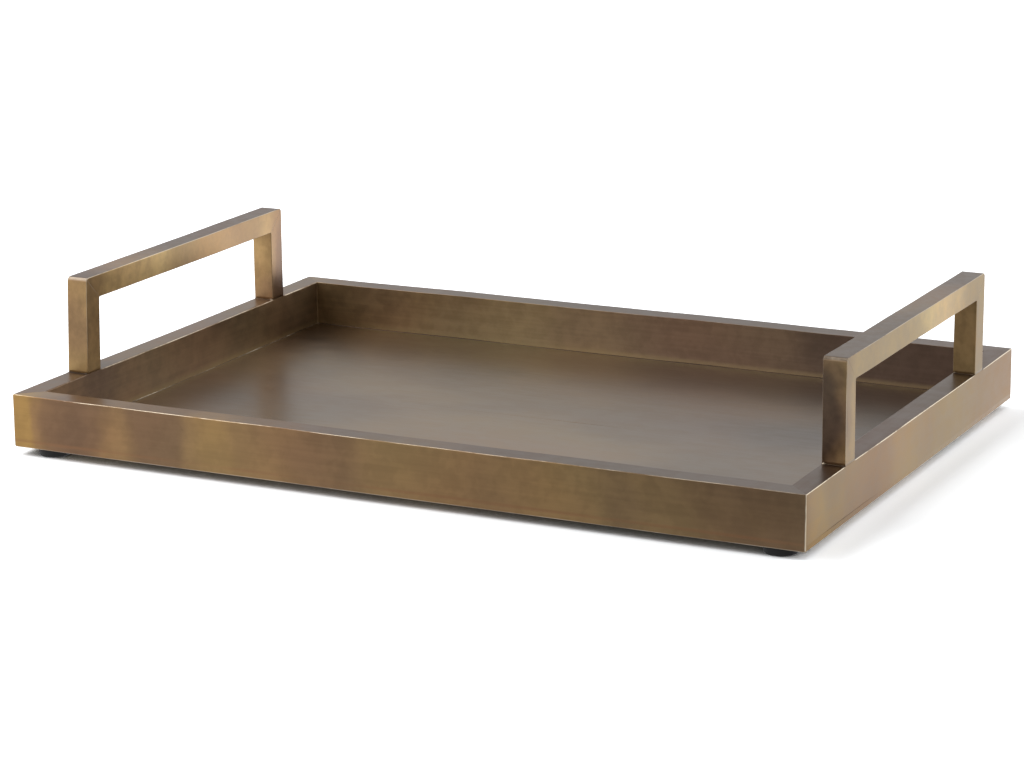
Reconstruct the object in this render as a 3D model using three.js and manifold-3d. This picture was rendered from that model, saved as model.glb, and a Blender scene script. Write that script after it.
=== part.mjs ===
// Brass serving tray with two bar handles, in millimetres with +Z up.
// The origin is the centre of the footprint, on the surface that the feet stand on.
// +X runs from the left handle to the right one, and -Y is the front.
import * as THREE from "three";
import { mergeVertices } from "three/addons/utils/BufferGeometryUtils.js";
import Module from "manifold-3d";

const wasm = await Module();
wasm.setup();

// Footprint
const TRAY_LENGTH = 457;
const TRAY_WIDTH = 318;

// Base plate
const PLATE_THICKNESS = 3.3;
const PLATE_CORNER_RADIUS = 1.5;
const FLOOR_MARGIN = 0.5;

// Rails, of drawn rectangular tube
const RAIL_WIDTH = 12.7;
const RAIL_HEIGHT = 26;
const TUBE_WALL = 1.2;
const TUBE_EDGE_RADIUS = 0.8;

// Handles, of tube as deep as the rail is wide
const HANDLE_SPAN = 211.5;
const HANDLE_RISE = 54;
const BAR_WIDTH = 12.7;

// Filler left in each brazed joint
const BRAZE_GAP = 0.05;

// Rubber feet
const FOOT_HEIGHT = 4.6;
const FOOT_DIAMETER = 18.5;
const FOOT_TAPER = 0.5;
const FOOT_EDGE_RADIUS = 1.2;
const FOOT_WEB = 1.2;
const FOOT_END_MARGIN = 7.75;
const FOOT_SIDE_MARGIN = 1.55;

// Foot screws and their washers
const SHANK_DIAMETER = 3.9;
const TIP_CHAMFER = 0.5;
const TIP_CLEARANCE = 0.4;
const HEAD_DIAMETER = 7.4;
const HEAD_HEIGHT = 1.6;
const HEAD_EDGE_RADIUS = 0.9;
const RECESS_WIDTH = 1;
const RECESS_SPAN = 4;
const RECESS_DEPTH = 0.9;
const WASHER_DIAMETER = 10;
const WASHER_THICKNESS = 0.8;

// Clearances between a screw and what it passes through
const THREAD_CLEARANCE = 0.05;
const HOLE_CLEARANCE = 0.2;
const COUNTERBORE_CLEARANCE = 0.3;

// Smoothness of round shapes
const CORNER_SEGMENTS = 3;
const FOOT_SIDES = 36;
const SCREW_SIDES = 20;

// Heights that follow from the stack of feet, plate, rails and handles
const plateTop = FOOT_HEIGHT + PLATE_THICKNESS;
const railBase = plateTop + BRAZE_GAP;
const washerTop = FOOT_HEIGHT - FOOT_WEB;
const washerBase = washerTop - WASHER_THICKNESS;

const brass = { color: 0x8a6a45, roughness: 0.42, metalness: 0.9 };
const wornBrass = { color: 0xa0824f, roughness: 0.38, metalness: 0.9 };
const floorBrass = { color: 0x7b6a58, roughness: 0.36, metalness: 0.9 };
const rubber = { color: 0x1c1c1e, roughness: 0.8, metalness: 0 };
const steel = { color: 0xa4a7aa, roughness: 0.35, metalness: 1 };

function piece(name, geometry, finish) {
  const mesh = new THREE.Mesh(geometry, new THREE.MeshStandardMaterial(finish));
  mesh.name = name;
  return mesh;
}

// A rectangle with round corners, from (x, y) to (x + width, y + height).
function roundRectangle(outline, x, y, width, height, radius) {
  const right = x + width;
  const top = y + height;
  const quarter = Math.PI / 2;
  outline.absarc(right - radius, y + radius, radius, -quarter, 0, false);
  outline.absarc(right - radius, top - radius, radius, 0, quarter, false);
  outline.absarc(x + radius, top - radius, radius, quarter, 2 * quarter, false);
  outline.absarc(x + radius, y + radius, radius, 2 * quarter, 3 * quarter, false);
  outline.closePath();
  return outline;
}

// A tube along X, centred on x = 0, whose section fills y = 0 to width and z = 0 to height.
function tube(length, width, height) {
  const section = roundRectangle(new THREE.Shape(), 0, 0, width, height, TUBE_EDGE_RADIUS);
  const boreWidth = width - 2 * TUBE_WALL;
  const boreHeight = height - 2 * TUBE_WALL;
  const boreRadius = TUBE_EDGE_RADIUS / 2;
  const bore = new THREE.Path();
  section.holes.push(roundRectangle(bore, TUBE_WALL, TUBE_WALL, boreWidth, boreHeight, boreRadius));
  const options = { depth: length, bevelEnabled: false, curveSegments: CORNER_SEGMENTS };
  const geometry = new THREE.ExtrudeGeometry(section, options);
  geometry.translate(0, 0, -length / 2);
  const alongX = new THREE.Matrix4().makeBasis(
    new THREE.Vector3(0, 1, 0),
    new THREE.Vector3(0, 0, 1),
    new THREE.Vector3(1, 0, 0),
  );
  return geometry.applyMatrix4(alongX);
}

// Cuts a tube's ends: each end face moves in by what its own function says at (y, z).
function cutEnds(geometry, pullStart, pullEnd) {
  const position = geometry.getAttribute("position");
  for (let i = 0; i < position.count; i += 1) {
    const x = position.getX(i);
    const pull = x < 0 ? pullStart : pullEnd;
    const inward = pull(position.getY(i), position.getZ(i));
    position.setX(i, x - Math.sign(x) * inward);
  }
  geometry.computeVertexNormals();
  return geometry;
}

// A rail with both ends mitred: the outer face, at y = 0, keeps the full length.
function rail(name, length) {
  const mitre = (y) => y + BRAZE_GAP;
  const geometry = cutEnds(tube(length, RAIL_WIDTH, RAIL_HEIGHT), mitre, mitre);
  return piece(name, geometry, brass);
}

// The grip keeps its full span on top and is mitred towards the posts under its ends.
function grip(name) {
  const mitre = (y, z) => BAR_WIDTH - z + BRAZE_GAP;
  const geometry = cutEnds(tube(HANDLE_SPAN, RAIL_WIDTH, BAR_WIDTH), mitre, mitre);
  return piece(name, geometry, wornBrass);
}

// A post is cut square on the rail and mitred under the grip.
// Its outer face is at x = 0, and the rest of it lies on the side away from `outward`.
function post(name, outward) {
  const square = () => BRAZE_GAP;
  const mitre = (y, z) => (outward > 0 ? z : BAR_WIDTH - z);
  const geometry = cutEnds(tube(HANDLE_RISE, RAIL_WIDTH, BAR_WIDTH), square, mitre);
  geometry.rotateY(-Math.PI / 2);
  const shift = outward > 0 ? 0 : BAR_WIDTH;
  geometry.translate(shift, 0, HANDLE_RISE / 2);
  return piece(name, geometry, wornBrass);
}

// A grip on two posts, standing on z = 0 and centred on x = 0.
// `lowEnd` and `highEnd` name the posts at the -X and +X ends.
function handle(side, lowEnd, highEnd) {
  const group = new THREE.Group();
  const lowPost = post(`${side}_handle_${lowEnd}_post`, -1);
  lowPost.position.x = -HANDLE_SPAN / 2;
  const highPost = post(`${side}_handle_${highEnd}_post`, 1);
  highPost.position.x = HANDLE_SPAN / 2;
  const bar = grip(`${side}_handle_grip`);
  bar.position.z = HANDLE_RISE - BAR_WIDTH;
  group.add(lowPost, highPost, bar);
  return group;
}

// The four rails lie round the plate, each in a group turned to its own side.
// A group's local -Y faces outwards, and a handle rides on the rail of its side.
function side(angle, distance) {
  const group = new THREE.Group();
  group.rotation.z = angle;
  const seat = new THREE.Group();
  seat.position.set(0, -distance / 2, railBase);
  group.add(seat);
  return { group, seat };
}

function frame() {
  const front = side(0, TRAY_WIDTH);
  front.seat.add(rail("front_rail", TRAY_LENGTH));

  const back = side(Math.PI, TRAY_WIDTH);
  back.seat.add(rail("back_rail", TRAY_LENGTH));

  const right = side(Math.PI / 2, TRAY_LENGTH);
  const rightHandle = handle("right", "front", "back");
  rightHandle.position.z = RAIL_HEIGHT;
  right.seat.add(rail("right_rail", TRAY_WIDTH), rightHandle);

  const left = side(-Math.PI / 2, TRAY_LENGTH);
  const leftHandle = handle("left", "back", "front");
  leftHandle.position.z = RAIL_HEIGHT;
  left.seat.add(rail("left_rail", TRAY_WIDTH), leftHandle);

  const group = new THREE.Group();
  group.add(front.group, back.group, right.group, left.group);
  return group;
}

// The places of the four feet, which are also those of the tapped holes in the plate.
// The margins are what the plate shows outside a foot at the tray's ends and long sides.
const footPlaces = [
  { name: "front_left", x: -1, y: -1 },
  { name: "front_right", x: 1, y: -1 },
  { name: "back_left", x: -1, y: 1 },
  { name: "back_right", x: 1, y: 1 },
].map((corner) => ({
  name: corner.name,
  x: corner.x * (TRAY_LENGTH / 2 - FOOT_END_MARGIN - FOOT_DIAMETER / 2),
  y: corner.y * (TRAY_WIDTH / 2 - FOOT_SIDE_MARGIN - FOOT_DIAMETER / 2),
}));

// Geometry to a manifold solid, and back.
function solid(geometry) {
  geometry.deleteAttribute("normal");
  geometry.deleteAttribute("uv");
  const merged = mergeVertices(geometry);
  const vertProperties = merged.getAttribute("position").array;
  const triVerts = new Uint32Array(merged.index.array);
  return new wasm.Manifold(new wasm.Mesh({ numProp: 3, vertProperties, triVerts }));
}

function surface(manifold) {
  const { vertProperties, triVerts } = manifold.getMesh();
  const geometry = new THREE.BufferGeometry();
  geometry.setAttribute("position", new THREE.BufferAttribute(vertProperties, 3));
  geometry.setIndex(new THREE.BufferAttribute(triVerts, 1));
  geometry.computeVertexNormals();
  return geometry;
}

// A rectangle centred on the origin, with its corners at (x, y) and its mirror images.
function rectangle(outline, x, y) {
  outline.moveTo(-x, -y);
  outline.lineTo(x, -y);
  outline.lineTo(x, y);
  outline.lineTo(-x, y);
  outline.closePath();
  return outline;
}

// The plate is its border, which carries the rails, joined to the open floor, so that the
// flat face between the rails has an outline of its own. The tapped holes are cut last.
function floorPlate() {
  const floorX = TRAY_LENGTH / 2 - RAIL_WIDTH - FLOOR_MARGIN;
  const floorY = TRAY_WIDTH / 2 - RAIL_WIDTH - FLOOR_MARGIN;
  const corner = [-TRAY_LENGTH / 2, -TRAY_WIDTH / 2];
  const border = new THREE.Shape();
  roundRectangle(border, ...corner, TRAY_LENGTH, TRAY_WIDTH, PLATE_CORNER_RADIUS);
  border.holes.push(rectangle(new THREE.Path(), floorX, floorY));
  const open = rectangle(new THREE.Shape(), floorX, floorY);
  const options = { depth: PLATE_THICKNESS, bevelEnabled: false, curveSegments: CORNER_SEGMENTS };
  const [borderSolid, openSolid] = [border, open].map((shape) =>
    solid(new THREE.ExtrudeGeometry(shape, options)),
  );
  let plate = borderSolid.add(openSolid);
  const tappedRadius = SHANK_DIAMETER / 2 + THREAD_CLEARANCE;
  const drillLength = 3 * PLATE_THICKNESS;
  for (const place of footPlaces) {
    const drill = new THREE.CylinderGeometry(tappedRadius, tappedRadius, drillLength, SCREW_SIDES);
    drill.rotateX(Math.PI / 2);
    drill.translate(place.x, place.y, 0);
    plate = plate.subtract(solid(drill));
  }
  const mesh = piece("floor_plate", surface(plate), floorBrass);
  mesh.position.z = FOOT_HEIGHT;
  return mesh;
}

// A solid turned about Z from [radius, height] points, which run anticlockwise in section.
function turned(points, sides) {
  const profile = points.map(([radius, height]) => new THREE.Vector2(radius, height));
  return new THREE.LatheGeometry(profile, sides).rotateX(Math.PI / 2);
}

// Points of a quarter circle about (x, y), from angle `from` to `from` plus a quarter turn.
function quarterArc(x, y, radius, from) {
  const arc = new THREE.Path().absarc(x, y, radius, from, from + Math.PI / 2, false);
  return arc.getPoints(CORNER_SEGMENTS).map((point) => [point.x, point.y]);
}

// A rubber foot: narrower at the floor, with a counterbore for the washer and the screw head.
function foot(name) {
  const topRadius = FOOT_DIAMETER / 2;
  const baseRadius = topRadius - FOOT_TAPER;
  const boreRadius = WASHER_DIAMETER / 2 + COUNTERBORE_CLEARANCE;
  const holeRadius = SHANK_DIAMETER / 2 + HOLE_CLEARANCE;
  const edgeCentre = baseRadius - FOOT_EDGE_RADIUS;
  const profile = [
    [boreRadius, 0],
    ...quarterArc(edgeCentre, FOOT_EDGE_RADIUS, FOOT_EDGE_RADIUS, -Math.PI / 2),
    [topRadius, FOOT_HEIGHT],
    [holeRadius, FOOT_HEIGHT],
    [holeRadius, washerTop],
    [boreRadius, washerTop],
    [boreRadius, 0],
  ];
  return piece(name, turned(profile, FOOT_SIDES), rubber);
}

function washer(name) {
  const outer = WASHER_DIAMETER / 2;
  const inner = SHANK_DIAMETER / 2 + HOLE_CLEARANCE;
  const profile = [
    [inner, washerBase],
    [outer, washerBase],
    [outer, washerTop],
    [inner, washerTop],
    [inner, washerBase],
  ];
  return piece(name, turned(profile, SCREW_SIDES), steel);
}

// A pan-head screw, head down, with a cross recess; its tip stops short of the plate's top.
function screw(name) {
  const shank = SHANK_DIAMETER / 2;
  const head = HEAD_DIAMETER / 2;
  const headBase = washerBase - HEAD_HEIGHT;
  const tip = plateTop - TIP_CLEARANCE;
  const edge = HEAD_EDGE_RADIUS;
  const profile = [
    [0, headBase],
    ...quarterArc(head - edge, headBase + edge, edge, -Math.PI / 2),
    [head, washerBase],
    [shank, washerBase],
    [shank, tip - TIP_CHAMFER],
    [shank - TIP_CHAMFER, tip],
    [0, tip],
  ];
  let body = solid(turned(profile, SCREW_SIDES));
  for (const angle of [0, Math.PI / 2]) {
    const slot = new THREE.BoxGeometry(RECESS_SPAN, RECESS_WIDTH, 2 * RECESS_DEPTH);
    slot.rotateZ(angle);
    slot.translate(0, 0, headBase);
    body = body.subtract(solid(slot));
  }
  return piece(name, surface(body), steel);
}

function feet() {
  const group = new THREE.Group();
  for (const place of footPlaces) {
    const stack = new THREE.Group();
    stack.position.set(place.x, place.y, 0);
    stack.add(foot(`foot_${place.name}`));
    stack.add(washer(`foot_washer_${place.name}`));
    stack.add(screw(`foot_screw_${place.name}`));
    group.add(stack);
  }
  return group;
}

const tray = new THREE.Group();
tray.add(floorPlate(), frame(), feet());

export default tray;
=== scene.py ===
# %% [markdown]
# # A brass serving tray, from its frame to its finish
# The tray is sheet and tube, brazed together and then aged. Its sizes are settled already,
# in a model of plain solids that this lesson loads as a fixed frame. What is left to do is
# what a maker's hand does: soft edges, fillets of braze, a patina and the shine of wear.

# %% Load the frame
import math

import bpy
import numpy as np
from mathutils import Matrix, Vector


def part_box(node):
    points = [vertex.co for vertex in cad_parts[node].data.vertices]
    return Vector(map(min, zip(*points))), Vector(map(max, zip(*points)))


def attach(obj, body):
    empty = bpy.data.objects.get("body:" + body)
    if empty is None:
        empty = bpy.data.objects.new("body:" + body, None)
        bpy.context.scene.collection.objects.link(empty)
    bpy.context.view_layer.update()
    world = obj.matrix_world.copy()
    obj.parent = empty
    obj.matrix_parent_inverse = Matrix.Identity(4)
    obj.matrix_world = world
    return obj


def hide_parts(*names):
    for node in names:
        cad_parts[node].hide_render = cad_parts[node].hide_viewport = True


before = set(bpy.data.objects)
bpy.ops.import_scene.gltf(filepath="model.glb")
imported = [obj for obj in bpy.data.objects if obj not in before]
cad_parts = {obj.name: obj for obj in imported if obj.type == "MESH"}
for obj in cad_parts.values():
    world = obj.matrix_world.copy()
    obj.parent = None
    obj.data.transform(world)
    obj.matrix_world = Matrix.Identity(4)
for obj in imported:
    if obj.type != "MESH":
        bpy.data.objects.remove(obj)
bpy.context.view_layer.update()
MM = 0.001

# %% [markdown]
# Every size below is read from the frame, so a piece lands where its plain solid stands.
# The plate gives the footprint, a rail gives the tube, and a grip gives the handle.

# %% Sizes from the frame
plate_low, plate_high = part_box("floor_plate")
rail_low, rail_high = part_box("front_rail")
grip_low, grip_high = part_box("right_handle_grip")
post_low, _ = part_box("right_handle_front_post")
half_length, half_width = plate_high.x, plate_high.y
plate_base, plate_top, rim, handle_top = plate_low.z, plate_high.z, rail_high.z, grip_high.z
rail_width = rail_high.y - rail_low.y
bar_width = grip_high.z - grip_low.z
half_span = -post_low.y
print("tray", 2 * half_length, "x", 2 * half_width, "rim at", round(rim, 5))
print("handle span", 2 * half_span, "rise", round(handle_top - rim, 5))

# %% [markdown]
# ## Camera
# The camera stands low and a little to the right of the front, with a long lens, so the
# tray is seen almost without perspective. It is placed by an aim point, a distance and
# three angles, and its axes are worked out from those.

# %% Camera
AIM = np.array([6.4, -28.6, 33.95]) * MM
CAMERA_DISTANCE = 1.7443
AZIMUTH, ELEVATION, ROLL = np.radians([26.57, 14.59, -0.60])
LENS_MM = 112.84


def camera_axes(azimuth, elevation, roll):
    """Right, up and back axes. Back points from the aim to the camera, right is level, and
    roll turns right and up about back."""
    level = np.array([math.cos(azimuth), math.sin(azimuth), 0.0])
    outward = np.array([math.sin(azimuth), -math.cos(azimuth), 0.0])
    back = outward * math.cos(elevation) + np.array([0, 0, math.sin(elevation)])
    up = np.cross(back, level)
    right = level * math.cos(roll) + up * math.sin(roll)
    return right, np.cross(back, right), back


camera_data = bpy.data.cameras.new("camera")
camera_data.lens = LENS_MM
camera = bpy.data.objects.new("camera", camera_data)
bpy.context.scene.collection.objects.link(camera)
right_axis, up_axis, back_axis = camera_axes(AZIMUTH, ELEVATION, ROLL)
placement = np.eye(4)
placement[:3, :3] = np.stack([right_axis, up_axis, back_axis], axis=1)
placement[:3, 3] = AIM + CAMERA_DISTANCE * back_axis
camera.matrix_world = Matrix(placement.tolist())
bpy.context.scene.camera = camera
print("camera at", placement[:3, 3].round(4))

# %% [markdown]
# ## The hand of the maker
# Brazed and hand-ground work is never quite straight. Each piece could be bent by itself,
# but then the joints would open. So one smooth field of small shifts, a few tenths of a
# millimetre, is added to every brass piece, and neighbours move together.

# %% Waves
WAVE_LENGTHS = np.array([236.0, 143.0, 87.0, 51.0]) * MM
WAVE_SHARES = np.array([0.42, 0.28, 0.19, 0.11])


def waves(place, seed):
    """A sum of four sines of place, each with its own length, share and seeded phase; it
    stays between -1 and 1."""
    phases = np.random.default_rng(seed).uniform(0, 2 * np.pi, len(WAVE_LENGTHS))
    angle = 2 * np.pi * place[..., None] / WAVE_LENGTHS + phases
    return (WAVE_SHARES * np.sin(angle)).sum(-1)


print("waves reach", np.abs(waves(np.linspace(0, 1, 500), 3)).max().round(2))

# %% [markdown]
# This tray has three habits of its own besides. Its left wall stands out a little towards
# the front, its handles sit a touch high, and its back rail bows up in the middle.

# %% Habits of this tray
SHIFT = 0.32 * MM
CORNER_LEAN = 2.0 * MM
LEAN_START = 0.09
HANDLE_LEAN_BACK = 1.7
HANDLE_LIFT = 0.55 * MM
HANDLE_TWIST = 0.25 * MM
BACK_BOW = 0.7 * MM
BOW_MIDDLE, BOW_HALF = 0.02, 0.21
UNDERSIDE_SHARE = 0.35


def lean(x, y, z):
    """The left wall stands out further towards the front, and its handle leans back in: a
    product of three smooth shares, of length, width and height."""
    length_share = np.clip((-x - LEAN_START) / (half_length - LEAN_START), 0, 1) ** 2
    width_share = np.clip((half_width - y) / (2 * half_width), 0, 1) ** 2
    height_share = 1 - HANDLE_LEAN_BACK * np.clip((z - rim) / (handle_top - rim), 0, 1)
    return CORNER_LEAN * length_share * width_share * height_share


def hand_made(points):
    """Each point moves by waves of the other two coordinates, so a straight edge bows and
    a flat face undulates. The underside moves by only a third in height, because the feet
    stand on the table. The lean, the lift of the handles and the bow are added."""
    x, y, z = points[..., 0], points[..., 1], points[..., 2]
    shift_x = 0.7 * waves(y + 0.4 * z, 11) + 0.3 * waves(2 * z + 0.3 * y, 12)
    shift_y = 0.8 * waves(x + 0.5 * z, 13) + 0.2 * waves(2 * z - 0.2 * x, 14)
    shift_z = 0.6 * waves(x + 0.15 * y, 15) + 0.4 * waves(y - 0.2 * x, 16)
    grounded = np.clip((z - plate_base) / (plate_top - plate_base), 0, 1)
    shift_z = shift_z * (UNDERSIDE_SHARE + (1 - UNDERSIDE_SHARE) * grounded)
    moved = points + SHIFT * np.stack([shift_x, shift_y, shift_z], axis=-1)
    moved[..., 0] -= lean(x, y, z)
    raised = np.clip((z - rim) / (handle_top - rim), 0, 1)
    moved[..., 2] += raised * (HANDLE_LIFT + HANDLE_TWIST * x / half_length)
    behind = np.clip(y / half_width, 0, 1) ** 3 * np.clip((z - plate_top) / (rim - plate_top), 0, 1)
    middle = np.cos(0.5 * np.pi * np.clip((x - BOW_MIDDLE) / BOW_HALF, -1, 1))
    moved[..., 2] += BACK_BOW * behind * middle
    return moved


rim_corner = np.array([[-half_length, -half_width, rim]])
print("the rim's front left corner moves, in mm:", ((hand_made(rim_corner) - rim_corner) / MM).round(2))

# %% [markdown]
# ## From arrays to meshes
# Every piece is a grid of points: rings of a section, carried along a path. A ring closes
# on itself, the two end rings get a cap, and the faces are turned to look outwards. Blender
# could do this with curves and modifiers, but a grid keeps every point's meaning, so wear
# and softness can be written at the same time as the shape.

# %% Faces of a grid


def ring_quads(rings, around, loop=False):
    """Quads between neighbouring rings: point j of ring k joins point j + 1 and ring k + 1.
    With loop, the last ring joins the first."""
    k, j = np.meshgrid(np.arange(rings if loop else rings - 1), np.arange(around), indexing="ij")
    after, beside = (k + 1) % rings, (j + 1) % around
    corners = [k * around + j, k * around + beside, after * around + beside, after * around + j]
    return np.stack(corners, axis=-1).reshape(-1, 4)


def volume_of(points, faces):
    """Signed volume: a sixth of the sum of a . (b x c) over the triangles of each face's
    fan. Faces is an array with one row of corners for each face."""
    a, b, c = points[faces[:, :1]], points[faces[:, 1:-1]], points[faces[:, 2:]]
    return (a * np.cross(b, c)).sum() / 6


print("three rings of four points have", len(ring_quads(3, 4)), "quads between them")

# %% [markdown]
# A mesh takes the points and the faces, and carries the wear as an attribute that the
# material can read. The sides are shaded smooth and the caps flat.

# %% Pieces


def build_piece(name, points, quads, caps=None, wear=None):
    """A mesh object from points, an array of quads and an array of cap polygons. If the
    faces look inwards, all of them are reversed."""
    rows = [quads] if caps is None else [quads, caps]
    if sum(volume_of(points, faces) for faces in rows) < 0:
        rows = [faces[:, ::-1] for faces in rows]
    mesh = bpy.data.meshes.new(name)
    mesh.from_pydata(points.tolist(), [], [face for faces in rows for face in faces.tolist()])
    smooth = np.arange(len(mesh.polygons)) < len(quads)
    mesh.polygons.foreach_set("use_smooth", smooth)
    if wear is not None:
        attribute = mesh.attributes.new("wear", "FLOAT", "POINT")
        attribute.data.foreach_set("value", np.ascontiguousarray(wear.ravel(), np.float32))
    mesh.update()
    piece = bpy.data.objects.new(name, mesh)
    bpy.context.scene.collection.objects.link(piece)
    return piece


def tube_piece(name, grid, wear=None):
    """A piece from a (rings, around, 3) grid of points, capped at both ends."""
    rings, around = grid.shape[:2]
    first = np.arange(around)
    caps = np.stack([first[::-1], first + (rings - 1) * around])
    return build_piece(name, grid.reshape(-1, 3), ring_quads(rings, around), caps, wear)


# %% [markdown]
# Each finished piece tells the frame two things: the body that it rides on, and the plain
# solids that it stands for.

# %% Handing a piece over


def finish_piece(piece, material, slot, *nodes):
    """Gives a piece its material and its body, and hides the solids that it replaces. The slot is not
    used.
    """
    piece.data.materials.append(material)
    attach(piece, "root")
    if nodes:
        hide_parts(*nodes)
    print(piece.name, len(piece.data.polygons), "faces")


# %% [markdown]
# ## Shader groups
# Aged brass shows several effects at once, and nearly every piece of the tray shows all of
# them: clouds in the oxide, the lines of the abrasive, marks of the torch, bright edges.
# An effect could be drawn again in each material, but then a change has to be made in many
# places. So each one is a shader group, built once and placed with its own values. A few
# short helpers make the nodes: one adds a node, one fills its inputs, the others do sums.

# %% Node helpers
FLOAT, COLOUR, VECTOR = "NodeSocketFloat", "NodeSocketColor", "NodeSocketVector"


def add_node(tree, kind, **settings):
    """A node of this kind, with its properties set by name."""
    made = tree.nodes.new(kind)
    for name, value in settings.items():
        setattr(made, name, value)
    return made


def feed(tree, target, **values):
    """Sets or links a node's inputs. A name is the input's own, with an underscore for each
    space, or n and its number."""
    for name, value in values.items():
        numbered = name[0] == "n" and name[1:].isdigit()
        socket = target.inputs[int(name[1:]) if numbered else name.replace("_", " ")]
        if isinstance(value, bpy.types.NodeSocket):
            tree.links.new(value, socket)
        else:
            socket.default_value = value
    return target


def math_node(tree, operation, a, b=0.0, clamp=False):
    """One sum of two numbers; with clamp, its result is kept between 0 and 1."""
    made = add_node(tree, "ShaderNodeMath", operation=operation, use_clamp=clamp)
    return feed(tree, made, n0=a, n1=b).outputs[0]


def vector_node(tree, operation, a, b, c=(0, 0, 0)):
    """One sum of vectors; a distance comes out as a number."""
    made = add_node(tree, "ShaderNodeVectorMath", operation=operation)
    feed(tree, made, n0=a, n1=b, n2=c)
    return made.outputs["Value" if operation in ("DISTANCE", "DOT_PRODUCT") else "Vector"]


def blend_colour(tree, share, low, high, mode="MIX"):
    """From the low colour at share 0 to the high colour at share 1."""
    made = add_node(tree, "ShaderNodeMix", data_type="RGBA", blend_type=mode)
    return feed(tree, made, n0=share, n6=low, n7=high).outputs[2]


def remap(tree, value, low, high, to_low=0.0, to_high=1.0):
    """A smooth step: to_low up to low, to_high from high on, an S curve in between."""
    made = add_node(tree, "ShaderNodeMapRange", interpolation_type="SMOOTHSTEP")
    return feed(tree, made, n0=value, n1=low, n2=high, n3=to_low, n4=to_high).outputs[0]


def noise(tree, place, scale, detail=2.0, roughness=0.5, distortion=0.0):
    """Soft noise between 0 and 1, with scale waves to the metre."""
    made = add_node(tree, "ShaderNodeTexNoise")
    feed(tree, made, Vector=place, Scale=scale, Detail=detail, Roughness=roughness)
    return feed(tree, made, Distortion=distortion).outputs[0]


def own_place(tree):
    """The point being shaded, in metres, in the tray's own frame."""
    return add_node(tree, "ShaderNodeTexCoord").outputs["Object"]


def along(tree, vector, axis):
    """One component, X, Y or Z, of a vector."""
    return feed(tree, add_node(tree, "ShaderNodeSeparateXYZ"), n0=vector).outputs[axis]


def new_group(name, inputs, outputs):
    """An empty group with named sockets: (name, type, default) in, (name, type) out."""
    group = bpy.data.node_groups.new(name, "ShaderNodeTree")
    for label, kind, default in inputs:
        socket = group.interface.new_socket(label, in_out="INPUT", socket_type=kind)
        socket.default_value = default
    for label, kind in outputs:
        group.interface.new_socket(label, in_out="OUTPUT", socket_type=kind)
    given = add_node(group, "NodeGroupInput").outputs
    return group, given, add_node(group, "NodeGroupOutput")


def use_group(tree, group, **values):
    """Places a group in a material with its own values, and gives its outputs."""
    return feed(tree, add_node(tree, "ShaderNodeGroup", node_tree=group), **values).outputs


# %% [markdown]
# The oxide on brass grows unevenly, because heat, fingers and acid were uneven. It has
# large soft clouds, a slower drift of hue, a fine mottle, and now and then a speck. They
# could be painted or taken from an image, but noises over the tray's own coordinates have
# no edges and no seams, and a cloud runs on from a rail to its post.

# %% Patina group
CLOUD_SCALE, HUE_SCALE, MOTTLE_SCALE, SPECK_SCALE = 15.0, 11.0, 110.0, 900.0
NOISE_SPREAD = (0.3, 0.7)
SPECK_PEAKS = (0.62, 0.78)
BESIDE = (5.3, 2.1, 7.7)


def patina_group():
    """Clouds is a noise of some 70 mm, Hue one of 90 mm beside it, Mottle one of 9 mm and
    Speckle the peaks of one of 1 mm. Stretch squeezes their place, Offset moves it."""
    group, given, made = new_group(
        "patina",
        [("Offset", VECTOR, (0, 0, 0)), ("Stretch", VECTOR, (1, 1, 1))],
        [("Clouds", FLOAT), ("Hue", FLOAT), ("Mottle", FLOAT), ("Speckle", FLOAT)],
    )
    mapping = add_node(group, "ShaderNodeMapping")
    feed(group, mapping, Vector=own_place(group), Location=given["Offset"])
    place = feed(group, mapping, Scale=given["Stretch"]).outputs[0]
    beside = vector_node(group, "ADD", place, BESIDE)
    clouds = remap(group, noise(group, place, CLOUD_SCALE, 3.0, 0.4, 0.3), *NOISE_SPREAD)
    hue = remap(group, noise(group, beside, HUE_SCALE, 2.0, 0.4), *NOISE_SPREAD)
    mottle = remap(group, noise(group, place, MOTTLE_SCALE, 3.0, 0.6, 0.2), *NOISE_SPREAD)
    speckle = remap(group, noise(group, place, SPECK_SCALE, 2.0, 0.6), *SPECK_PEAKS)
    feed(group, made, Clouds=clouds, Hue=hue, Mottle=mottle, Speckle=speckle)
    return group


PATINA = patina_group()
print("patina has", len(PATINA.nodes), "nodes")

# %% [markdown]
# Every face was rubbed down with an abrasive pad, along its length. That leaves fine lines,
# which a noise gives when its place is drawn out: many waves across, few along.

# %% Grain group


def grain_group():
    """Streaks is a noise whose place is multiplied by Stretch: a large factor across the
    lines and a small one along them."""
    group, given, made = new_group(
        "abrasive grain", [("Stretch", VECTOR, (8, 900, 900))], [("Streaks", FLOAT)]
    )
    place = vector_node(group, "MULTIPLY", own_place(group), given["Stretch"])
    feed(group, made, Streaks=noise(group, place, 1.0, 3.0, 0.55))
    return group


GRAIN = grain_group()
print("grain is drawn out by", GRAIN.interface.items_tree["Stretch"].default_value[:])

# %% [markdown]
# Edges are where hands and cloths take the oxide off again. The geometry knows where its
# edges are, so it writes a wear attribute there, and this group breaks that line up: luck
# decides which stretches are bare. Pointiness would also find edges, but not with such
# large faces.

# %% Wear group
SLOW_SCALE, QUICK_SCALE = 26.0, 260.0
SLOW_SHARE = 0.75
BARE_FROM, BARE_TO = 0.38, 0.62


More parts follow.
